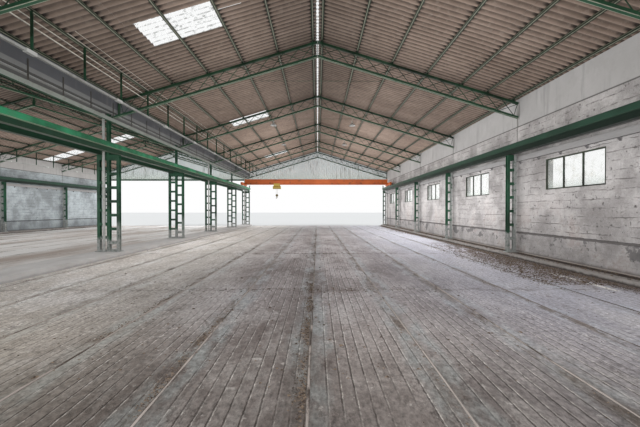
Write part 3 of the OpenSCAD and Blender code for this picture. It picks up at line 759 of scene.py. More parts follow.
def here(tree, wanted=""):
    """The place on the object, followed by its numbers along the axes that are wanted."""
    place = add(tree, "ShaderNodeTexCoord", take="Object")
    return [place, *axes(place, wanted)] if wanted else place


def facing_up(tree):
    """How far the surface looks up: 1 on a floor, 0 on a wall, -1 under a ceiling."""
    return axes(add(tree, "ShaderNodeNewGeometry", take="Normal"), "Z")[0]


def underside(tree, start=-0.5):
    """1 where the surface looks down, and 0 elsewhere."""
    return rise(facing_up(tree), start, -0.9)


def bump(height, distance, strength):
    """A normal from a height, in metres."""
    return add(height.tree, "ShaderNodeBump", {"Height": height, "Distance": distance, "Strength": strength})


# Shared effects

def effect(name, inputs, outputs, build):
    """A node group that takes a place and named numbers and puts out named numbers, filled in by build."""
    tree = bpy.data.node_groups.new(name, "ShaderNodeTree")
    tree.interface.new_socket(name="place", in_out="INPUT", socket_type="NodeSocketVector")
    for key, value in inputs.items():
        tree.interface.new_socket(name=key, in_out="INPUT", socket_type="NodeSocketFloat").default_value = value
    for key in outputs:
        tree.interface.new_socket(name=key, in_out="OUTPUT", socket_type="NodeSocketFloat")
    entry = add(tree, "NodeGroupInput", take=tuple(range(1 + len(inputs))))
    add(tree, "NodeGroupOutput", dict(zip(outputs, build(*entry))), take=())

    def use(place, **values):
        """The group placed in a material."""
        take = tuple(outputs) if len(outputs) > 1 else outputs[0]
        return add(place.tree, "ShaderNodeGroup", {"place": place, **values}, take, node_tree=tree)
    return use


def build_patches(place, scale, threshold, soft, ragged):
    """Blotches: noise cut at a threshold, with ragged edges from a finer noise."""
    edge = noise(place, scale, 5.0, 0.6) + (noise(place, scale * 9.0, 3.0) - 0.5) * ragged
    return [rise(edge, threshold - soft, threshold + soft)]


def build_runs(place, scale, amount):
    """Streaks that run down: noise drawn out along Z, broken up by a slow one."""
    thin = rise(noise(stretched(place, 1.0, 1.0, 0.12), scale), 0.50, 0.68)
    return [held(thin * rise(noise(place, 0.9, 2.0), 0.42, 0.62) * amount)]


def build_courses(place, length, height):
    """Rough block courses on a side wall: waving bed joints that come and go, faint upright joints, a tone a block."""
    sway = swing(0.10, place, 2.6, 7.0, 0.7)
    y, z = axes(place, "YZ")
    from_bed = to_and_fro((z + sway) / height, 0.5) * height
    broken = rise(noise(stretched(place, 1.0, 0.5, 1.0), 4.5, 6.0, 0.70), 0.42, 0.58)
    tone, upright = bricks(y + sway, z + sway, length, height, 0.008)
    return most(rise(from_bed, 0.014, 0.002) * broken, upright * broken * 0.35), tone


def build_worn(place, wear):
    """Old paint: slow changes of tone, chips with rust, and dust that lies on what looks up."""
    cut = 0.76 - wear * rise(noise(place, 2.1, 3.0), 0.45, 0.65)
    chips = rise(noise(place, 34.0, 4.0, 0.65) - cut, 0.0, 0.03)
    dust = rise(facing_up(place.tree), 0.35, 0.9) * rise(noise(place, 5.0, 4.0), 0.3, 0.6)
    return noise(place, 1.3, 5.0), chips, dust


patches = effect("patches", {"scale": 1.0, "threshold": 0.55, "soft": 0.03, "ragged": 0.2}, ["mask"], build_patches)
runs = effect("runs", {"scale": 9.0, "amount": 1.0}, ["mask"], build_runs)
courses = effect("courses", {"length": 0.4, "height": 0.2}, ["joint", "tone"], build_courses)
worn_paint = effect("worn_paint", {"wear": 0.1}, ["tone", "chips", "dust"], build_worn)


def spotted(colour, share, spots, place, **values):
    """A colour with blotches of another laid over it, as far as a share."""
    return blend(patches(place, **values) * share, colour, spots)


def surface(name, build, rough=None):
    """A material whose Principled shader has what build gives linked to it, and may have a constant roughness."""
    made = bpy.data.materials.new(name)
    made.use_nodes = True
    shader = made.node_tree.nodes["Principled BSDF"]
    if rough is not None:
        shader.inputs["Roughness"].default_value = rough
    for key, value in build(made.node_tree).items():
        made.node_tree.links.new(value.socket, shader.inputs[key])
    return made


# Finishes

def green_paint(tree, dark=(0.006, 0.036, 0.018), light=(0.02, 0.1, 0.05), limed=None):
    """Green paint, faded in places, with rusty chips, dust, painted shade on its undersides, and limewash up to a
    ragged line where limed is given.
    """
    place = here(tree)
    tone, chips, dust = worn_paint(place, wear=0.13)
    colour = blend(rise(tone, 0.35, 0.65), dark, light)
    colour = spotted(colour, 0.35, (0.06, 0.15, 0.085), place, scale=3.0, threshold=0.62, soft=0.08, ragged=0.3)
    # Painted shade: undersides made darker.
    colour = blend(underside(tree) * 0.5, colour, (0.003, 0.01, 0.005))
    colour = blend(chips, colour, (0.06, 0.034, 0.024))
    colour = blend(dust * 0.55, colour, (0.2, 0.18, 0.155))
    rough = ramp(tone, 0.38, 0.62)
    if limed is not None:
        share, lime = limed(place)
        colour = blend(share, colour, lime)
        rough = most(rough, share * 0.85)
    height = noise(place, 60.0, 3.0) - chips * 0.6
    return {"Base Color": colour, "Roughness": rough, "Normal": bump(height, 0.0012, 0.6)}


def lime_at_foot(top, outer_leg=None):
    """Limewash brushed on up to a height, uneven and thin, and thinly over an outer leg beyond a distance across."""
    def share(place):
        """How far the limewash covers, and its colour."""
        x, z = axes(place, "XZ")
        wave_line = swing(0.35, place, 6.0, 3.0)
        below = rise(z + wave_line, top + 0.05, top - 0.05)
        thin = rise(noise(place, 15.0), 0.35, 0.52)
        lime = blend(noise(place, 8.0), (0.25, 0.26, 0.25), (0.46, 0.47, 0.46))
        cover = below * (thin * 0.5 + 0.5)
        if outer_leg is not None:
            leg = rise(x, outer_leg - 0.005, outer_leg + 0.005)
            leg = leg * rise(z + wave_line, FLOOR_Z + 1.15, FLOOR_Z + 0.85)
            washed = leg * (0.15 + thin * 0.45)
            cover = most(cover, washed)
        return cover, lime
    return share


def lime_at_wall(place):
    """Limewash on the legs next to the side walls, all the way up, and at the foot of the front legs."""
    foot, lime = lime_at_foot(FLOOR_Z + 0.72)(place)
    behind = rise(abs(axes(place, "X")[0]), WALL_X - 0.163, WALL_X - 0.157)
    thin = rise(noise(place, 11.0), 0.3, 0.5)
    return most(foot, behind * thin), lime


def whitewash(tree, dado=False):
    """Limewashed blockwork: rough courses, stains, pits, and grey bare patches that hang from the dado's seam."""
    place, x, z = here(tree, "XZ")
    joint, shade = courses(place)
    tone = noise(place, 0.9, 8.0, 0.66)
    colour = blend(rise(tone, 0.33, 0.67), (0.26, 0.25, 0.245), (0.56, 0.548, 0.54))
    colour = blend(shade * 0.18, colour, (0.26, 0.25, 0.245))
    cloud = patches(stretched(place, 1.0, 0.6, 1.4), scale=2.4, threshold=0.56, soft=0.07, ragged=0.45)
    near = rise(x, 0.0, 1.0)
    kept = 0.2 + near * 0.8
    colour = blend(cloud * kept * 0.3, colour, (0.2, 0.185, 0.175))
    brown = patches(place, scale=0.9, threshold=0.57, soft=0.08, ragged=0.35)
    low = rise(z, FLOOR_Z + 2.2, FLOOR_Z + 0.7)
    colour = blend(brown * low * kept * 0.45, colour, (0.21, 0.155, 0.13))
    specks = patches(place, scale=12.0, threshold=0.67, soft=0.02, ragged=0.35)
    colour = blend(specks * 0.8, colour, (0.075, 0.068, 0.064))
    grit = noise(place, 46.0, 6.0, 0.78)
    colour = blend(rise(grit, 0.54, 0.68) * 0.45, colour, (0.12, 0.112, 0.108))
    colour = blend(rise(grit, 0.44, 0.32) * 0.4, colour, (0.74, 0.73, 0.72))
    colour = blend(joint * (0.2 if dado else 0.66), colour, (0.11, 0.1, 0.095))
    wander = swing(0.055, place, 7.0, 6.0, 0.7)
    above = z + wander - (FLOOR_Z + DADO_H)
    # A dark band along the dado's top: its joint, widened by painted shadow.
    seam = rise(abs(above), 0.04, 0.022)
    if dado:
        hanging = rise(abs(above + 0.12), 0.42, 0.1) * 0.11
        blotch = noise(stretched(place, 1.0, 0.8, 1.0), 2.3, 6.0, 0.66)
        damp = rise(blotch + hanging, 0.655, 0.685) * (0.15 + near * 0.75)
        peeled = blend(noise(place, 9.0, 5.0, 0.7), (0.085, 0.083, 0.083), (0.2, 0.195, 0.195))
        colour = blend(0.16, colour, (0.12, 0.115, 0.12))
        colour = blend(damp, colour, peeled)
        foot = rise(z + wander, FLOOR_Z + 0.2, FLOOR_Z + 0.1)
        colour = blend(foot * 0.75, colour, (0.05, 0.038, 0.031))
        toe = rise(z, FLOOR_Z + KERB_H + 0.025, FLOOR_Z + KERB_H + 0.015)
        colour = blend(toe * 0.8, colour, (0.34, 0.3, 0.27))
    # The dado's dark joint with its painted shadow.
    colour = blend(seam * 0.85, colour, (0.085, 0.078, 0.076))
    outside = rise(abs(x), WALL_X + 0.05, WALL_X + 0.08)
    colour = blend(outside * 0.55, colour, (0.44, 0.43, 0.42))
    near = most(near, outside)
    colour = tinted(colour, 0.82 + near * 0.2, 0.93 + near * 0.07, 0.99 + near * 0.01)
    height = noise(place, 14.0, 7.0, 0.68) * 0.9 - joint * 0.7 - most(specks, seam * 1.5)
    return {"Base Color": colour, "Normal": bump(height, 0.006 if dado else 0.016, 0.9)}


def upper_panels(tree):
    """Smooth limewashed panels above the blockwork, with faint runs from the eave and a dark joint with a painted
    shadow line along their foot.
    """
    place, z = here(tree, "Z")
    colour = blend(noise(place, 0.9, 7.0, 0.65), (0.32, 0.31, 0.303), (0.54, 0.53, 0.52))
    streak = runs(place, scale=5.0, amount=0.45)
    colour = blend(streak, colour, (0.24, 0.235, 0.23))
    colour = spotted(colour, 0.15, (0.27, 0.255, 0.24), place, scale=2.2, threshold=0.58, soft=0.08, ragged=0.3)
    # The joint's dark line, widened by painted shadow.
    joint = rise(z, PANEL_Z + 0.025, PANEL_Z)
    colour = blend(joint * 0.85, colour, (0.075, 0.07, 0.065))
    return {"Base Color": colour, "Normal": bump(noise(place, 22.0) * 0.4, 0.003, 0.6)}


def plain_concrete(tree):
    """Grey cast concrete with pores and blotches, and limewash on its upright faces; its flat faces stay dark grey, as
    painted shade under the ledge.
    """
    place = here(tree)
    colour = blend(noise(place, 3.0, 6.0, 0.65), (0.07, 0.066, 0.068), (0.16, 0.152, 0.155))
    colour = spotted(colour, 0.4, (0.05, 0.045, 0.043), place, scale=2.5, threshold=0.55, soft=0.06, ragged=0.3)
    limed = blend(noise(stretched(place, 1.0, 0.2, 1.0), 4.0, 6.0, 0.7), (0.22, 0.215, 0.21), (0.5, 0.49, 0.485))
    # Painted shade: only upright faces are limed, so the flat faces and the underside stay dark.
    upright = rise(abs(facing_up(tree)), 0.5, 0.2)
    colour = blend(upright * 0.75, colour, limed)
    return {"Base Color": colour, "Normal": bump(noise(place, 45.0), 0.004, 0.7)}


def kerb_concrete(tree):
    """The strips under the columns: worn concrete, limed in the valley, with dark dirt on top beside the walls."""
    place, x, z = here(tree, "XZ")
    colour = blend(noise(place, 2.4, 7.0, 0.66), (0.17, 0.155, 0.145), (0.42, 0.395, 0.375))
    colour = spotted(colour, 0.45, (0.14, 0.115, 0.1), stretched(place, 1.0, 0.35, 1.0), scale=2.0, threshold=0.56,
                     soft=0.06, ragged=0.3)
    valley = rise(abs(x), 2.0, 1.0)
    limed = blend(noise(stretched(place, 1.0, 0.4, 1.0), 2.0, 7.0, 0.68), (0.34, 0.32, 0.31), (0.74, 0.74, 0.74))
    colour = blend(valley * 0.85, colour, limed)
    wander = swing(0.1, place, 5.0, 6.0, 0.7)
    lying = rise(facing_up(tree), 0.2, 0.6)
    dirt = rise(abs(x) + wander, WALL_X - 0.32, WALL_X - 0.26) * lying * rise(abs(x), WALL_X - 0.045, WALL_X - 0.055)
    earth = blend(noise(place, 30.0, 5.0, 0.75), (0.008, 0.006, 0.005), (0.06, 0.042, 0.032))
    colour = blend(dirt * 0.97, colour, earth)
    low = rise(z + wander, FLOOR_Z + 0.065, FLOOR_Z + 0.015) * 0.85 * (1.0 - valley * 0.65)
    colour = blend(low, colour, (0.03, 0.021, 0.017))
    height = noise(place, 40.0) + dirt * noise(place, 14.0)
    return {"Base Color": colour, "Normal": bump(height, 0.01, 0.8)}


def wave_cosine(y):
    """1 along the lowest lines of the sheets' waves, and -1 along the highest."""
    return step("COSINE", (y + ROOF_Y) * (2 * math.pi / WAVE_L))


def from_ridge(x):
    """The distance across from the nearer ridge."""
    return abs(abs(x) - RIDGE_X)


def from_purlins(x, shift):
    """The distance across from the nearest purlin, each moved by a shift away from the ridge."""
    nearest = abs(from_ridge(x) - (PURLINS[0] + shift))
    for purlin in PURLINS[1:]:
        nearest = least(nearest, abs(from_ridge(x) - (purlin + shift)))
    return nearest


def roof_sheeting(tree):
    """Fibre cement: brown below, grey with lichen above, a tone for each sheet; below, painted shade in the waves'
    hollows and beside the purlins, a painted highlight along the waves' lowest lines, and painted light and shade
    across and along the roof.
    """
    place, x, y = here(tree, "XY")
    tone = add(tree, "ShaderNodeAttribute", take="Fac", attribute_name="tone")
    slow = noise(place, 0.55, 5.0)
    below = blend(held(slow + tone * 0.5), (0.15, 0.112, 0.09), (0.33, 0.27, 0.235))
    hollow = 0.5 - wave_cosine(y) * 0.5
    ragged = swing(0.9, place, 5.0, 5.0, 0.65)
    # Painted shade in the waves' hollows, stronger farther along the hall.
    painted_deep_shade = rise(hollow + ragged, 0.3, 1.0)
    nearer = 0.45 + rise(y, -11.0, -5.0) * 0.35
    below = blend(painted_deep_shade * nearer, below, (0.052, 0.04, 0.034))
    # Painted highlight along the waves' lowest lines.
    crest = rise(hollow + ragged, 0.35, 0.0)
    below = blend(crest * 0.25, below, (0.44, 0.36, 0.31))
    # Painted shadow in the hollows beside the purlins.
    shade = rise(from_purlins(x, 0.03), 0.14, 0.03) * rise(hollow, 0.15, 0.7)
    below = blend(shade * 0.85, below, (0.018, 0.015, 0.013))
    below = spotted(below, 0.2, (0.37, 0.33, 0.3), place, scale=7.0, threshold=0.6, soft=0.05, ragged=0.3)
    above = blend(noise(place, 1.1, 6.0), (0.15, 0.145, 0.14), (0.31, 0.3, 0.285))
    above = spotted(above, 0.6, (0.075, 0.075, 0.062), place, scale=4.5, threshold=0.6, soft=0.03, ragged=0.4)
    above = blend(held(tone + 0.3) * 0.3, above, (0.36, 0.35, 0.34))
    # Painted light and shade over the underside: darker near the ridges, near the valley and over the left nave in the
    # near bays, and over the left nave; darker in the middle bays and brighter in the farther ones; rows add a random
    # tone.
    valley = rise(x, 5.0, 1.5) * (1.0 - rise(y, -8.0, -3.0))
    shaded = 0.66 + rise(from_ridge(x), 0.2, 2.6) * 0.3 - valley * 0.3 - rise(x, 0.0, -0.5) * 0.25
    later = rise(y, 0.0, 4.5) * 0.45 - rise(y, -7.0, -4.5) * 0.14
    rows = 0.62 + noise(stretched(place, 0.25, 1.0, 1.0), 3.0, 6.0, 0.75) * 0.76
    tone_and_painted_light = shaded * rows * (1.0 + later)
    below = tinted(below, tone_and_painted_light, tone_and_painted_light * 0.94, tone_and_painted_light * 0.88)
    colour = blend(rise(facing_up(tree), -0.1, 0.1), below, above)
    return {"Base Color": colour, "Normal": bump(noise(place, 70.0, 3.0), 0.0012, 0.5)}


def clear_sheeting(tree):
    """Clouded translucent sheet: nearly white, with grey dirt in blotches and in broken lines along the waves."""
    place, y = here(tree, "Y")
    cloud = noise(place, 3.5, 5.0, 0.65)
    dirt = patches(place, scale=6.0, threshold=0.64, soft=0.05, ragged=0.4)
    line = rise(wave_cosine(y), 0.55, 0.95)
    broken = rise(noise(stretched(place, 1.0, 0.5, 1.0), 9.0, 4.0, 0.7), 0.42, 0.58)
    dirt = most(dirt, line * broken)
    colour = blend(cloud, (0.72, 0.77, 0.77), (0.88, 0.9, 0.9))
    colour = blend(dirt * 0.8, colour, (0.2, 0.21, 0.19))
    alpha = held(0.1 + dirt * 0.5)
    return {"Base Color": colour, "Alpha": alpha, "Normal": bump(noise(place, 50.0, 3.0), 0.001, 0.5)}


def gable_sheeting(tree):
    """Pale bluish translucent sheet with runs of dirt and a green tinge low down."""
    place, z = here(tree, "Z")
    colour = blend(noise(place, 1.6, 5.0), (0.46, 0.56, 0.57), (0.74, 0.8, 0.8))
    streak = runs(place, scale=5.0, amount=0.8)
    colour = blend(streak, colour, (0.22, 0.25, 0.22))
    green = rise(z, PANEL_Z + 1.0, PANEL_Z + 0.1)
    colour = blend(green * 0.4, colour, (0.3, 0.42, 0.26))
    alpha = held(0.5 + streak * 0.3)
    return {"Base Color": colour, "Alpha": alpha}


def window_pane(tree):
    """Thin clear glass with a film of dust that is thicker at the lower edge."""
    place, z = here(tree, "Z")
    film = rise(noise(place, 4.0, 5.0, 0.65), 0.45, 0.75)
    foot = rise(z, SILL_Z + 0.25, SILL_Z)
    alpha = 0.1 + held(film + foot) * 0.3
    colour = blend(film, (0.62, 0.68, 0.64), (0.72, 0.72, 0.66))
    return {"Base Color": colour, "Alpha": alpha}


def gutter_steel(tree):
    """Dull grey painted sheet with runs and rust, and painted shade that makes its underside nearly black."""
    place, z = here(tree, "Z")
    tone, chips, _ = worn_paint(place, wear=0.12)
    colour = blend(tone, (0.06, 0.064, 0.072), (0.13, 0.136, 0.15))
    streak = runs(place, scale=6.0, amount=0.5)
    colour = blend(streak, colour, (0.19, 0.19, 0.195))
    lower = rise(z, GUTTER_EDGE_Z + 0.008, GUTTER_EDGE_Z)
    paler = blend(tone, (0.15, 0.156, 0.156), (0.25, 0.258, 0.258))
    colour = blend(lower, colour, paler)
    colour = blend(chips, colour, (0.12, 0.05, 0.025))
    # Painted shade: the underside made nearly black.
    colour = blend(underside(tree) * 0.9, colour, (0.018, 0.018, 0.017))
    return {"Base Color": colour, "Normal": bump(noise(place, 25.0, 3.0), 0.002, 0.4)}


def pale_steel(tree, dark=(0.3, 0.31, 0.3), light=(0.52, 0.53, 0.51), hangers=False):
    """Off-white or pale grey paint on trays, pipes and lamps, with dirt, small chips and painted shade on undersides;
    green hangers where asked.
    """
    place, z = here(tree, "Z")
    tone, chips, _ = worn_paint(place, wear=0.1)
    colour = blend(tone, dark, light)
    colour = spotted(colour, 0.45, (0.2, 0.19, 0.17), place, scale=5.0, threshold=0.57, soft=0.06, ragged=0.3)
    colour = blend(chips, colour, (0.14, 0.06, 0.03))
    # Painted shade: undersides made darker.
    colour = blend(underside(tree) * 0.75, colour, (0.06, 0.06, 0.055))
    if hangers:
        above = rise(z, TRAY_TOP_Z, TRAY_TOP_Z + 0.005)
        green = blend(noise(place, 12.0), (0.012, 0.03, 0.018), (0.05, 0.1, 0.062))
        colour = blend(above, colour, green)
    return {"Base Color": colour, "Normal": bump(noise(place, 40.0, 3.0), 0.001, 0.4)}


def rafter_paint(tree):
    """Very dark green on top chords and bars as painted shade, brighter on bottom chords as painted light, limewash on
    the plates at the walls.
    """
    made = green_paint(tree, (0.004, 0.018, 0.008), (0.014, 0.062, 0.028))
    place, x, y, z = here(tree, "XYZ")
    below = (APEX_Z - z) * math.cos(PITCH) - from_ridge(x) * math.sin(PITCH)
    # Painted light and shade: the bottom chords brighter green, the top chords and bars left very dark.
    bright = blend(noise(place, 3.0, 5.0), (0.006, 0.04, 0.018), (0.026, 0.11, 0.056))
    colour = blend(rise(below, 0.4, 0.42) * 0.8, made["Base Color"], bright)
    beside = to_and_fro(y - (FRAMES_Y[0] - 2 * BAY), BAY / 2)
    edge = rise(beside, 0.029, 0.031) * rise(below, 0.472, 0.474) * rise(beside, 0.06, 0.05)
    edge = edge * rise(noise(place, 2.0, 5.0, 0.7), 0.3, 0.52)
    colour = blend(edge * 0.75, colour, (0.42, 0.42, 0.34))
    plate = rise(abs(x), WALL_X - 0.025, WALL_X - 0.02)
    made["Base Color"] = blend(plate * 0.9, colour, (0.34, 0.33, 0.32))
    return made


def hung_channel_paint(tree):
    """Light grey-green paint on the channel below the gutter, green along its lower edge and brown on its straps."""
    made = pale_steel(tree, (0.2, 0.225, 0.2), (0.36, 0.39, 0.36))
    place, z = here(tree, "Z")
    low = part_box("valley_girder")[0].z
    lower = rise(z, low + 0.022, low + 0.016)
    strap = rise(z, low + 0.128, low + 0.132)
    green = blend(noise(place, 9.0), (0.008, 0.03, 0.016), (0.022, 0.085, 0.045))
    brown = blend(noise(place, 9.0), (0.018, 0.017, 0.015), (0.075, 0.07, 0.06))
    made["Base Color"] = blend(strap, blend(lower, made["Base Color"], green), brown)
    return made


def crane_paint(tree):
    """Orange-red paint on the crane, faded, with rust and grease."""
    place = here(tree)
    tone, chips, _ = worn_paint(place, wear=0.16)
    colour = blend(tone, (0.42, 0.075, 0.018), (0.62, 0.16, 0.03))
    colour = blend(chips, colour, (0.08, 0.035, 0.02))
    colour = spotted(colour, 0.6, (0.05, 0.04, 0.03), place, scale=4.0, threshold=0.62, soft=0.05, ragged=0.3)
    return {"Base Color": colour, "Normal": bump(noise(place, 50.0, 3.0), 0.001, 0.5)}


def hoist_paint(tree):
    """Dull yellow paint on the trolley and hook block, dark with oil below."""
    place, z = here(tree, "Z")
    tone, chips, _ = worn_paint(place, wear=0.18)
    colour = blend(tone, (0.3, 0.2, 0.03), (0.52, 0.38, 0.07))
    colour = blend(chips, colour, (0.06, 0.03, 0.02))
    oil = rise(z, FLOOR_Z + 3.4, FLOOR_Z + 2.9)
    colour = blend(oil * 0.75, colour, (0.035, 0.03, 0.025))
    return {"Base Color": colour, "Normal": bump(noise(place, 50.0, 3.0), 0.001, 0.5)}


def floor_surface(tree):
    """Worn floor: narrow courses with a groove every 0.108 m, and grey cement smeared beside the raised joints.

    Each strip between two joints has nine grooves. A groove is a ragged dark line of painted shadow with a pale lip
    of painted highlight on one side, and the courses are made of pieces 0.24 m long. Grit, smears, blotches, dirt
    along the joints with a thin painted shadow beside them, dirt at the right wall, a dirty seam across the hall in
    each bay, and slow changes of tone with painted light lie over them, with painted daylight below the windows and a
    painted line of sunlight near the right wall.
    """
    place, x, y = here(tree, "XY")
    drawn = stretched(place, 1.0, 0.45, 1.0)
    slow = noise(drawn, 0.75, 6.0, 0.6)
    middling = noise(drawn, 4.0, 7.0, 0.68)
    grain = noise(stretched(place, 1.0, 0.6, 1.0), 26.0, 7.0, 0.8)
    # Where a point lies between two joints and beside its groove
    sway = swing(0.012, place, 0.7, 5.0, 0.6)
    jag = swing(0.022, place, 13.0, 7.0, 0.75)
    strip = (abs(x) - (RIDGE_X + LINE_SHIFT)) / STRIP_W
    beyond = (fraction(strip + 0.5) - 0.5) * STRIP_W
    from_joint = abs(beyond)
    within = fraction(strip) * STRIP_W + (sway + jag)
    turns = (within - FIRST_GROOVE) / GROOVE_W + 0.5
    beside = (fraction(turns) - 0.5) * GROOVE_W
    grooved = rise(within, 0.09, 0.1) * rise(within, 1.07, 1.06)
    piece, ends = bricks(y + jag, turns * GROOVE_W, 0.24, GROOVE_W, 0.003)
    # Stone and smeared cement, browner to the left and greyer to the right
    mixed = slow * 0.6 + middling * 0.4
    colour = blend(rise(mixed, 0.36, 0.64), (0.098, 0.078, 0.072), (0.232, 0.202, 0.192))
    wander = swing(0.4, drawn, 2.2, 5.0, 0.6)
    band = rise(from_joint + wander, 0.26, 0.12)
    smeared = band * rise(middling, 0.38, 0.62)
    grey = blend(noise(drawn, 5.0, 6.0, 0.65), (0.12, 0.128, 0.122), (0.27, 0.28, 0.282))
    colour = blend(smeared * 0.75, colour, grey)
    colour = blend(piece * 0.1, colour, (0.06, 0.045, 0.04))
    to_left = rise(x, RIDGE_X - 0.9, RIDGE_X - 3.2)
    olive = blend(middling, (0.15, 0.128, 0.1), (0.33, 0.295, 0.25))
    colour = blend(to_left * 0.55, colour, olive)
    to_right = rise(x, RIDGE_X + 0.5, RIDGE_X + 4.0)
    colour = blend(to_right * 0.5, colour, (0.285, 0.28, 0.32))
    colour = spotted(colour, 0.3, (0.34, 0.315, 0.3), drawn, scale=1.3, threshold=0.57, soft=0.1, ragged=0.5)
    # Blotches and pale spots
    colour = spotted(colour, 0.55, (0.06, 0.046, 0.042), drawn, scale=6.0, threshold=0.64, soft=0.05, ragged=0.5)
    colour = spotted(colour, 0.45, (0.4, 0.37, 0.35), stretched(place, 1.1, 1.0, 1.0), scale=7.0, threshold=0.66,
                     soft=0.02, ragged=0.3)
    # Grooves with painted shadow in them and a painted highlight on their lip, and the ends of the pieces
    kept = rise(noise(stretched(place, 1.3, 0.3, 1.0), 2.0, 4.0), 0.28, 0.5)
    kept = kept * grooved * (1.0 - smeared * 0.5)
    bitten = rise(noise(stretched(place, 1.0, 0.6, 1.0), 16.0, 5.0, 0.7), 0.34, 0.54)
    groove_and_shadow = rise(abs(beside), 0.008, 0.003) * (kept * (0.25 + bitten * 0.75))
    lip = rise(abs(beside - 0.011), 0.007, 0.002) * (kept * held(1.15 - bitten))
    colour = blend(lip * 0.75, colour, (0.5, 0.46, 0.43))
    colour = blend(groove_and_shadow * 0.8, colour, (0.036, 0.026, 0.022))
    between = ends * rise(middling, 0.48, 0.62)
    colour = blend(between * 0.35, colour, (0.06, 0.045, 0.04))
    # Dirty seams across the hall
    seam_y = to_and_fro(y + jag * 2.0 - SEAM_Y, BAY / 2)
    crumbled = rise(noise(place, 6.0, 6.0, 0.72), 0.5, 0.6)
    seam = most(rise(seam_y, 0.22, 0.05) * crumbled, rise(seam_y, 0.03, 0.012) * 0.5)
    colour = blend(seam * 0.65, colour, (0.055, 0.042, 0.036))
    # Dirt along the raised joints, and a thin painted shadow line on each side of them, darker on one side
    clumps = rise(noise(stretched(place, 1.0, 0.35, 1.0), 5.0, 6.0, 0.7), 0.46, 0.6)
    earth = blend(noise(place, 60.0, 3.0), (0.028, 0.02, 0.016), (0.12, 0.088, 0.068))
    inner = beyond + jag * 1.5
    dirt = rise(abs(inner + 0.05), 0.085, 0.02) * clumps
    broad = rise(noise(stretched(place, 1.0, 0.25, 1.0), 1.7, 6.0, 0.7), 0.46, 0.62)
    dirt = most(dirt, broad * 0.75 * rise(abs(inner + 0.04), 0.17, 0.04))
    # Painted shadow: a thin dark line beside each raised joint.
    gap = rise(abs(from_joint - 0.013), 0.008, 0.003)
    dirt = most(most(dirt, gap * rise(inner, 0.02, -0.02)), gap * 0.5)
    colour = blend(dirt * 0.8, colour, earth)
    # Slow changes of tone with painted light and sheen along and across the hall, and painted daylight below the
    # windows
    along = (rise(y, -14.5, -10.5) * 0.55 + rise(y, -14.0, -12.0) * 0.1 + rise(y, -10.5, -2.0) * 0.55
             - rise(y, 1.0, 13.0) * 0.7)
    leftward = rise(x, RIDGE_X - 1.5, RIDGE_X - 5.5) * 0.85
    rightward = rise(x, RIDGE_X + 1.0, RIDGE_X + 4.5) * 0.35
    painted_light_across = leftward + rightward + 1.0
    # Painted light: the tone's gains along and across the hall.
    tone = ramp(grain, 0.55, 1.45, 0.36, 0.64) * (along + 0.88) * painted_light_across
    cool = rise(y, -14.0, -10.0)
    colour = tinted(colour, tone, tone * (1.02 + cool * 0.05), tone * (1.0 + cool * 0.15))
    # Painted daylight from the windows on the floor.
    daylit = rise(x, RIDGE_X + 1.5, RIDGE_X + 4.0) * rise(y, -5.0, 0.0) * rise(y, 12.0, 6.0)
    colour = blend(daylit * 0.22, colour, (0.8, 0.84, 0.95))
    # Soil by the right wall, and a painted line of sunlight in front of it
    edge = rise(x + wander * 1.4, WALL_X - 2.05, WALL_X - 1.05) * (rise(y, -10.2, -9.2) * rise(y, 1.0, -3.0))
    against = rise(x + wander, WALL_X - 0.95, WALL_X - 0.55)
    leafy = rise(noise(stretched(place, 1.0, 0.45, 1.0), 4.0, 7.0, 0.72), 0.42, 0.56)
    soil = blend(noise(place, 38.0, 6.0, 0.75), (0.022, 0.014, 0.011), (0.19, 0.135, 0.1))
    colour = blend(most(edge * leafy * 0.85, against * 0.9), colour, soil)
    # Painted light: a thin line of sunlight on the floor near the right wall.
    lime = rise(abs(x - (WALL_X - 1.05) + jag * 3.0), 0.075, 0.035)
    lime = lime * (rise(y, -10.3, -10.1) * rise(y, -8.3, -8.6)) * rise(noise(place, 7.0, 5.0, 0.7), 0.44, 0.5)
    colour = blend(lime, colour, (0.9, 0.89, 0.87))
    # Sand in the left nave
    left_nave = rise(x, -0.4, -1.4)
    bands = noise(stretched(place, 0.55, 0.13, 1.0), 1.1, 6.0, 0.65)
    sand = blend(rise(bands, 0.32, 0.6), (0.34, 0.265, 0.225), (0.74, 0.735, 0.73))
    colour = blend(left_nave * 0.85, colour, sand)
    height = grain * 0.6 + lip * 0.3 - groove_and_shadow
    shine = ramp(grain, 0.38, 0.66)
    return {"Base Color": colour, "Roughness": shine, "Normal": bump(height, 0.005, 0.9)}


def purlin_paint(tree):
    """Dark green, with a pale rubbed stripe along the underside."""
    made = green_paint(tree, (0.002, 0.009, 0.004), (0.008, 0.03, 0.015))
    place, x = here(tree, "X")
    ragged = swing(0.012, place, 5.0, 5.0, 0.7)
    stripe = rise(from_purlins(x, 0.012) + ragged, 0.0125, 0.0085) * underside(tree, -0.6)
    pale = blend(noise(place, 9.0), (0.16, 0.155, 0.105), (0.46, 0.45, 0.35))
    deeper = blend(0.6, made["Base Color"], (0.006, 0.02, 0.011))
    made["Base Color"] = blend(stripe * 0.6, deeper, pale)
    return made


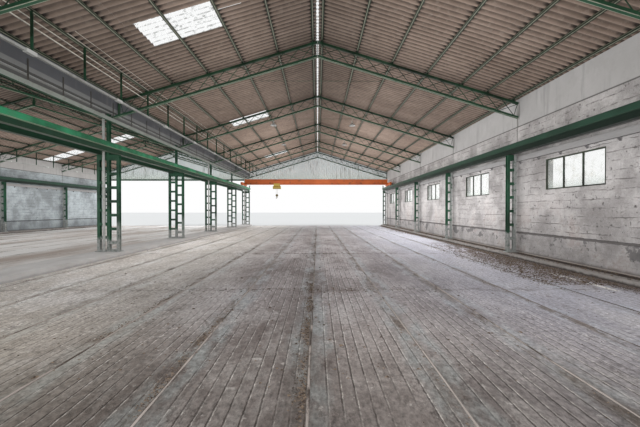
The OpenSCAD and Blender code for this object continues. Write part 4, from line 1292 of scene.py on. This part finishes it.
def beam_paint(tree):
    """Crane beams: bright green over a cream edge and painted shade in dark green below it at the valley, painted shade
    in dull dark green on the beams by the walls, and darker undersides as painted shade.
    """
    made = green_paint(tree, (0.006, 0.085, 0.036), (0.02, 0.24, 0.105))
    place, x, z = here(tree, "XZ")
    # Painted shade: the web below the cap's edge in dark green.
    lower = rise(z, BEAM_EDGE_Z + 0.006, BEAM_EDGE_Z)
    painted_deep_shade = blend(noise(place, 3.0, 5.0), (0.004, 0.024, 0.011), (0.01, 0.066, 0.032))
    colour = blend(lower, made["Base Color"], painted_deep_shade)
    ragged = swing(0.01, place, 4.0, 5.0, 0.7)
    cream = rise(abs(z + ragged - (BEAM_EDGE_Z + 0.008)), 0.0075, 0.004)
    foot = rise(z, BEAM_FOOT_Z + 0.004, BEAM_FOOT_Z)
    edges = most(cream * 0.75, foot * 0.22)
    colour = blend(edges, colour, (0.36, 0.36, 0.28))
    # Painted shade: undersides made darker.
    colour = blend(underside(tree) * 0.8, colour, (0.006, 0.016, 0.01))
    # Painted shade: the beams by the walls made dull dark green.
    by_wall = rise(abs(x), WALL_X / 2, WALL_X / 2 + 0.1)
    shade = blend(noise(place, 2.0, 5.0), (0.005, 0.02, 0.012), (0.018, 0.055, 0.036))
    shade = blend(lower * 0.8, shade, (0.002, 0.007, 0.005))
    made["Base Color"] = blend(by_wall * 0.92, colour, shade)
    return made


def dry_leaves(tree):
    """Brown of many tones, changing from one chip to the next."""
    place = here(tree)
    colour = blend(rise(noise(place, 26.0, 2.0), 0.38, 0.62), (0.045, 0.03, 0.022), (0.2, 0.15, 0.11))
    return {"Base Color": colour, "Normal": bump(noise(place, 200.0, 2.0), 0.001, 0.5)}


def joint_cement(tree):
    """Pale worn cement of the raised joints, with dirt on it here and there."""
    place, x = here(tree, "X")
    colour = blend(noise(stretched(place, 1.0, 0.4, 1.0), 5.0, 5.0, 0.65), (0.2, 0.175, 0.16), (0.46, 0.405, 0.37))
    dirt = rise(noise(stretched(place, 1.0, 0.3, 1.0), 3.5, 6.0, 0.7), 0.51, 0.6)
    dirt = most(dirt, rise(x, RIDGE_X + 2.6, RIDGE_X + 3.8) * 0.85)
    colour = blend(dirt, colour, (0.06, 0.045, 0.036))
    return {"Base Color": colour, "Normal": bump(noise(place, 60.0), 0.004, 0.8)}


FINISHES = {name: surface(name, *made) for name, *made in (
    ("floor", floor_surface),
    ("kerb", kerb_concrete, 0.86),
    ("wall", whitewash, 0.90),
    ("dado", lambda tree: whitewash(tree, dado=True), 0.88),
    ("upper_wall", upper_panels, 0.88),
    ("ledge", plain_concrete, 0.88),
    ("green", green_paint),
    ("crane_beam", beam_paint),
    ("rafter", rafter_paint),
    ("conduit", lambda tree: pale_steel(tree, (0.55, 0.53, 0.46), (0.82, 0.80, 0.70)), 0.5),
    ("window_bar", lambda tree: green_paint(tree, (0.010, 0.013, 0.007), (0.040, 0.052, 0.030))),
    ("hung_channel", hung_channel_paint, 0.55),
    ("enamel", lambda tree: pale_steel(tree, (0.46, 0.47, 0.46), (0.72, 0.73, 0.71)), 0.4),
    ("purlin", purlin_paint),
    ("wall_column", lambda tree: green_paint(tree, limed=lime_at_wall)),
    ("valley_column", lambda tree: green_paint(tree, limed=lime_at_foot(FLOOR_Z + 0.52, 0.255))),
    ("sheet", roof_sheeting, 0.86),
    ("clear", clear_sheeting, 0.35),
    ("pane", window_pane, 0.12),
    ("gable", gable_sheeting, 0.45),
    ("gutter", gutter_steel, 0.55),
    ("pale", pale_steel, 0.55),
    ("tray", lambda tree: pale_steel(tree, hangers=True), 0.55),
    ("crane", crane_paint, 0.50),
    ("hoist", hoist_paint, 0.52),
    ("leaves", dry_leaves, 0.9),
    ("joint", joint_cement, 0.9),
)}

# The nodes that are shown as they are, by finish
DRESSED = {
    "floor": "floor_slab", "kerb": "wall_kerbs valley_kerb", "dado": "right_dado left_dado",
    "wall": "right_wall left_wall", "upper_wall": "right_upper_wall left_upper_wall", "ledge": "wall_ledges",
    "window_bar": "window_frames", "pane": "window_glass", "wall_column": "right_columns left_columns",
    "valley_column": "valley_columns", "green": "valley_posts gable_lintels",
    "crane_beam": "right_crane_beams left_crane_beams", "gutter": "valley_gutter", "hung_channel": "valley_girder",
    "pale": "rain_pipes", "tray": "cable_trays", "crane": "crane_girder crane_carriages",
    "hoist": "trolley hook_block", "rafter": " ".join("rafters_%d" % i for i in range(1, 8)),
}


def dress(name, finish):
    """Give a node its finish."""
    thing = nodes[name]
    if not thing.material_slots:
        thing.data.materials.append(FINISHES[finish])
    for slot in thing.material_slots:
        slot.material = FINISHES[finish]


def fit(thing, finish, body="building", instead=()):
    """Give a new piece its finish, body and slot, and hide the nodes that it stands for."""
    thing.data.materials.append(FINISHES[finish])
    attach(thing, body)
    if instead:
        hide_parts(*instead)


camera()
studio()
lights()
for finish, names in DRESSED.items():
    for name in names.split():
        dress(name, finish)
for node, side, wall_side, clear, tone_shift in (("right_roof_wall_side", 1, True, [], -0.05),
                                                 ("right_roof_valley_side", 1, False, SKYLIGHT_WAVES, 0.05),
                                                 ("left_roof_valley_side", -1, False, [], 0.0),
                                                 ("left_roof_wall_side", -1, True, [STRIP_WAVE], 0.0)):
    slope = roof_slope("sheets_" + node.replace("_roof", ""), side, wall_side, clear, tone_shift)
    fit(slope, "sheet", instead=[node])
for node, side in (("right_purlins", 1), ("left_purlins", -1)):
    fit(purlins(node, side), "purlin", instead=[node])
fit(clear_sheets(), "clear", instead=["skylights"])
fit(ridge_covers(), "clear", instead=["ridge_caps"])
for end in ("near", "far"):
    fit(gable_sheets("gable_sheets_" + end, end + "_gables"), "gable", instead=[end + "_gables"])
fit(floor_lines(), "joint")
fit(litter(), "leaves")
fit(conduits(), "conduit")
fit(valley_flashing(), "gutter")
fit(tray_hangers(), "rafter")
fit(valley_strips(), "pale")
fit(wall_pipe(), "ledge")
fit(stays(), "rafter")
fit(pendant_lamps(), "enamel")
fit(tray_joints(), "enamel")
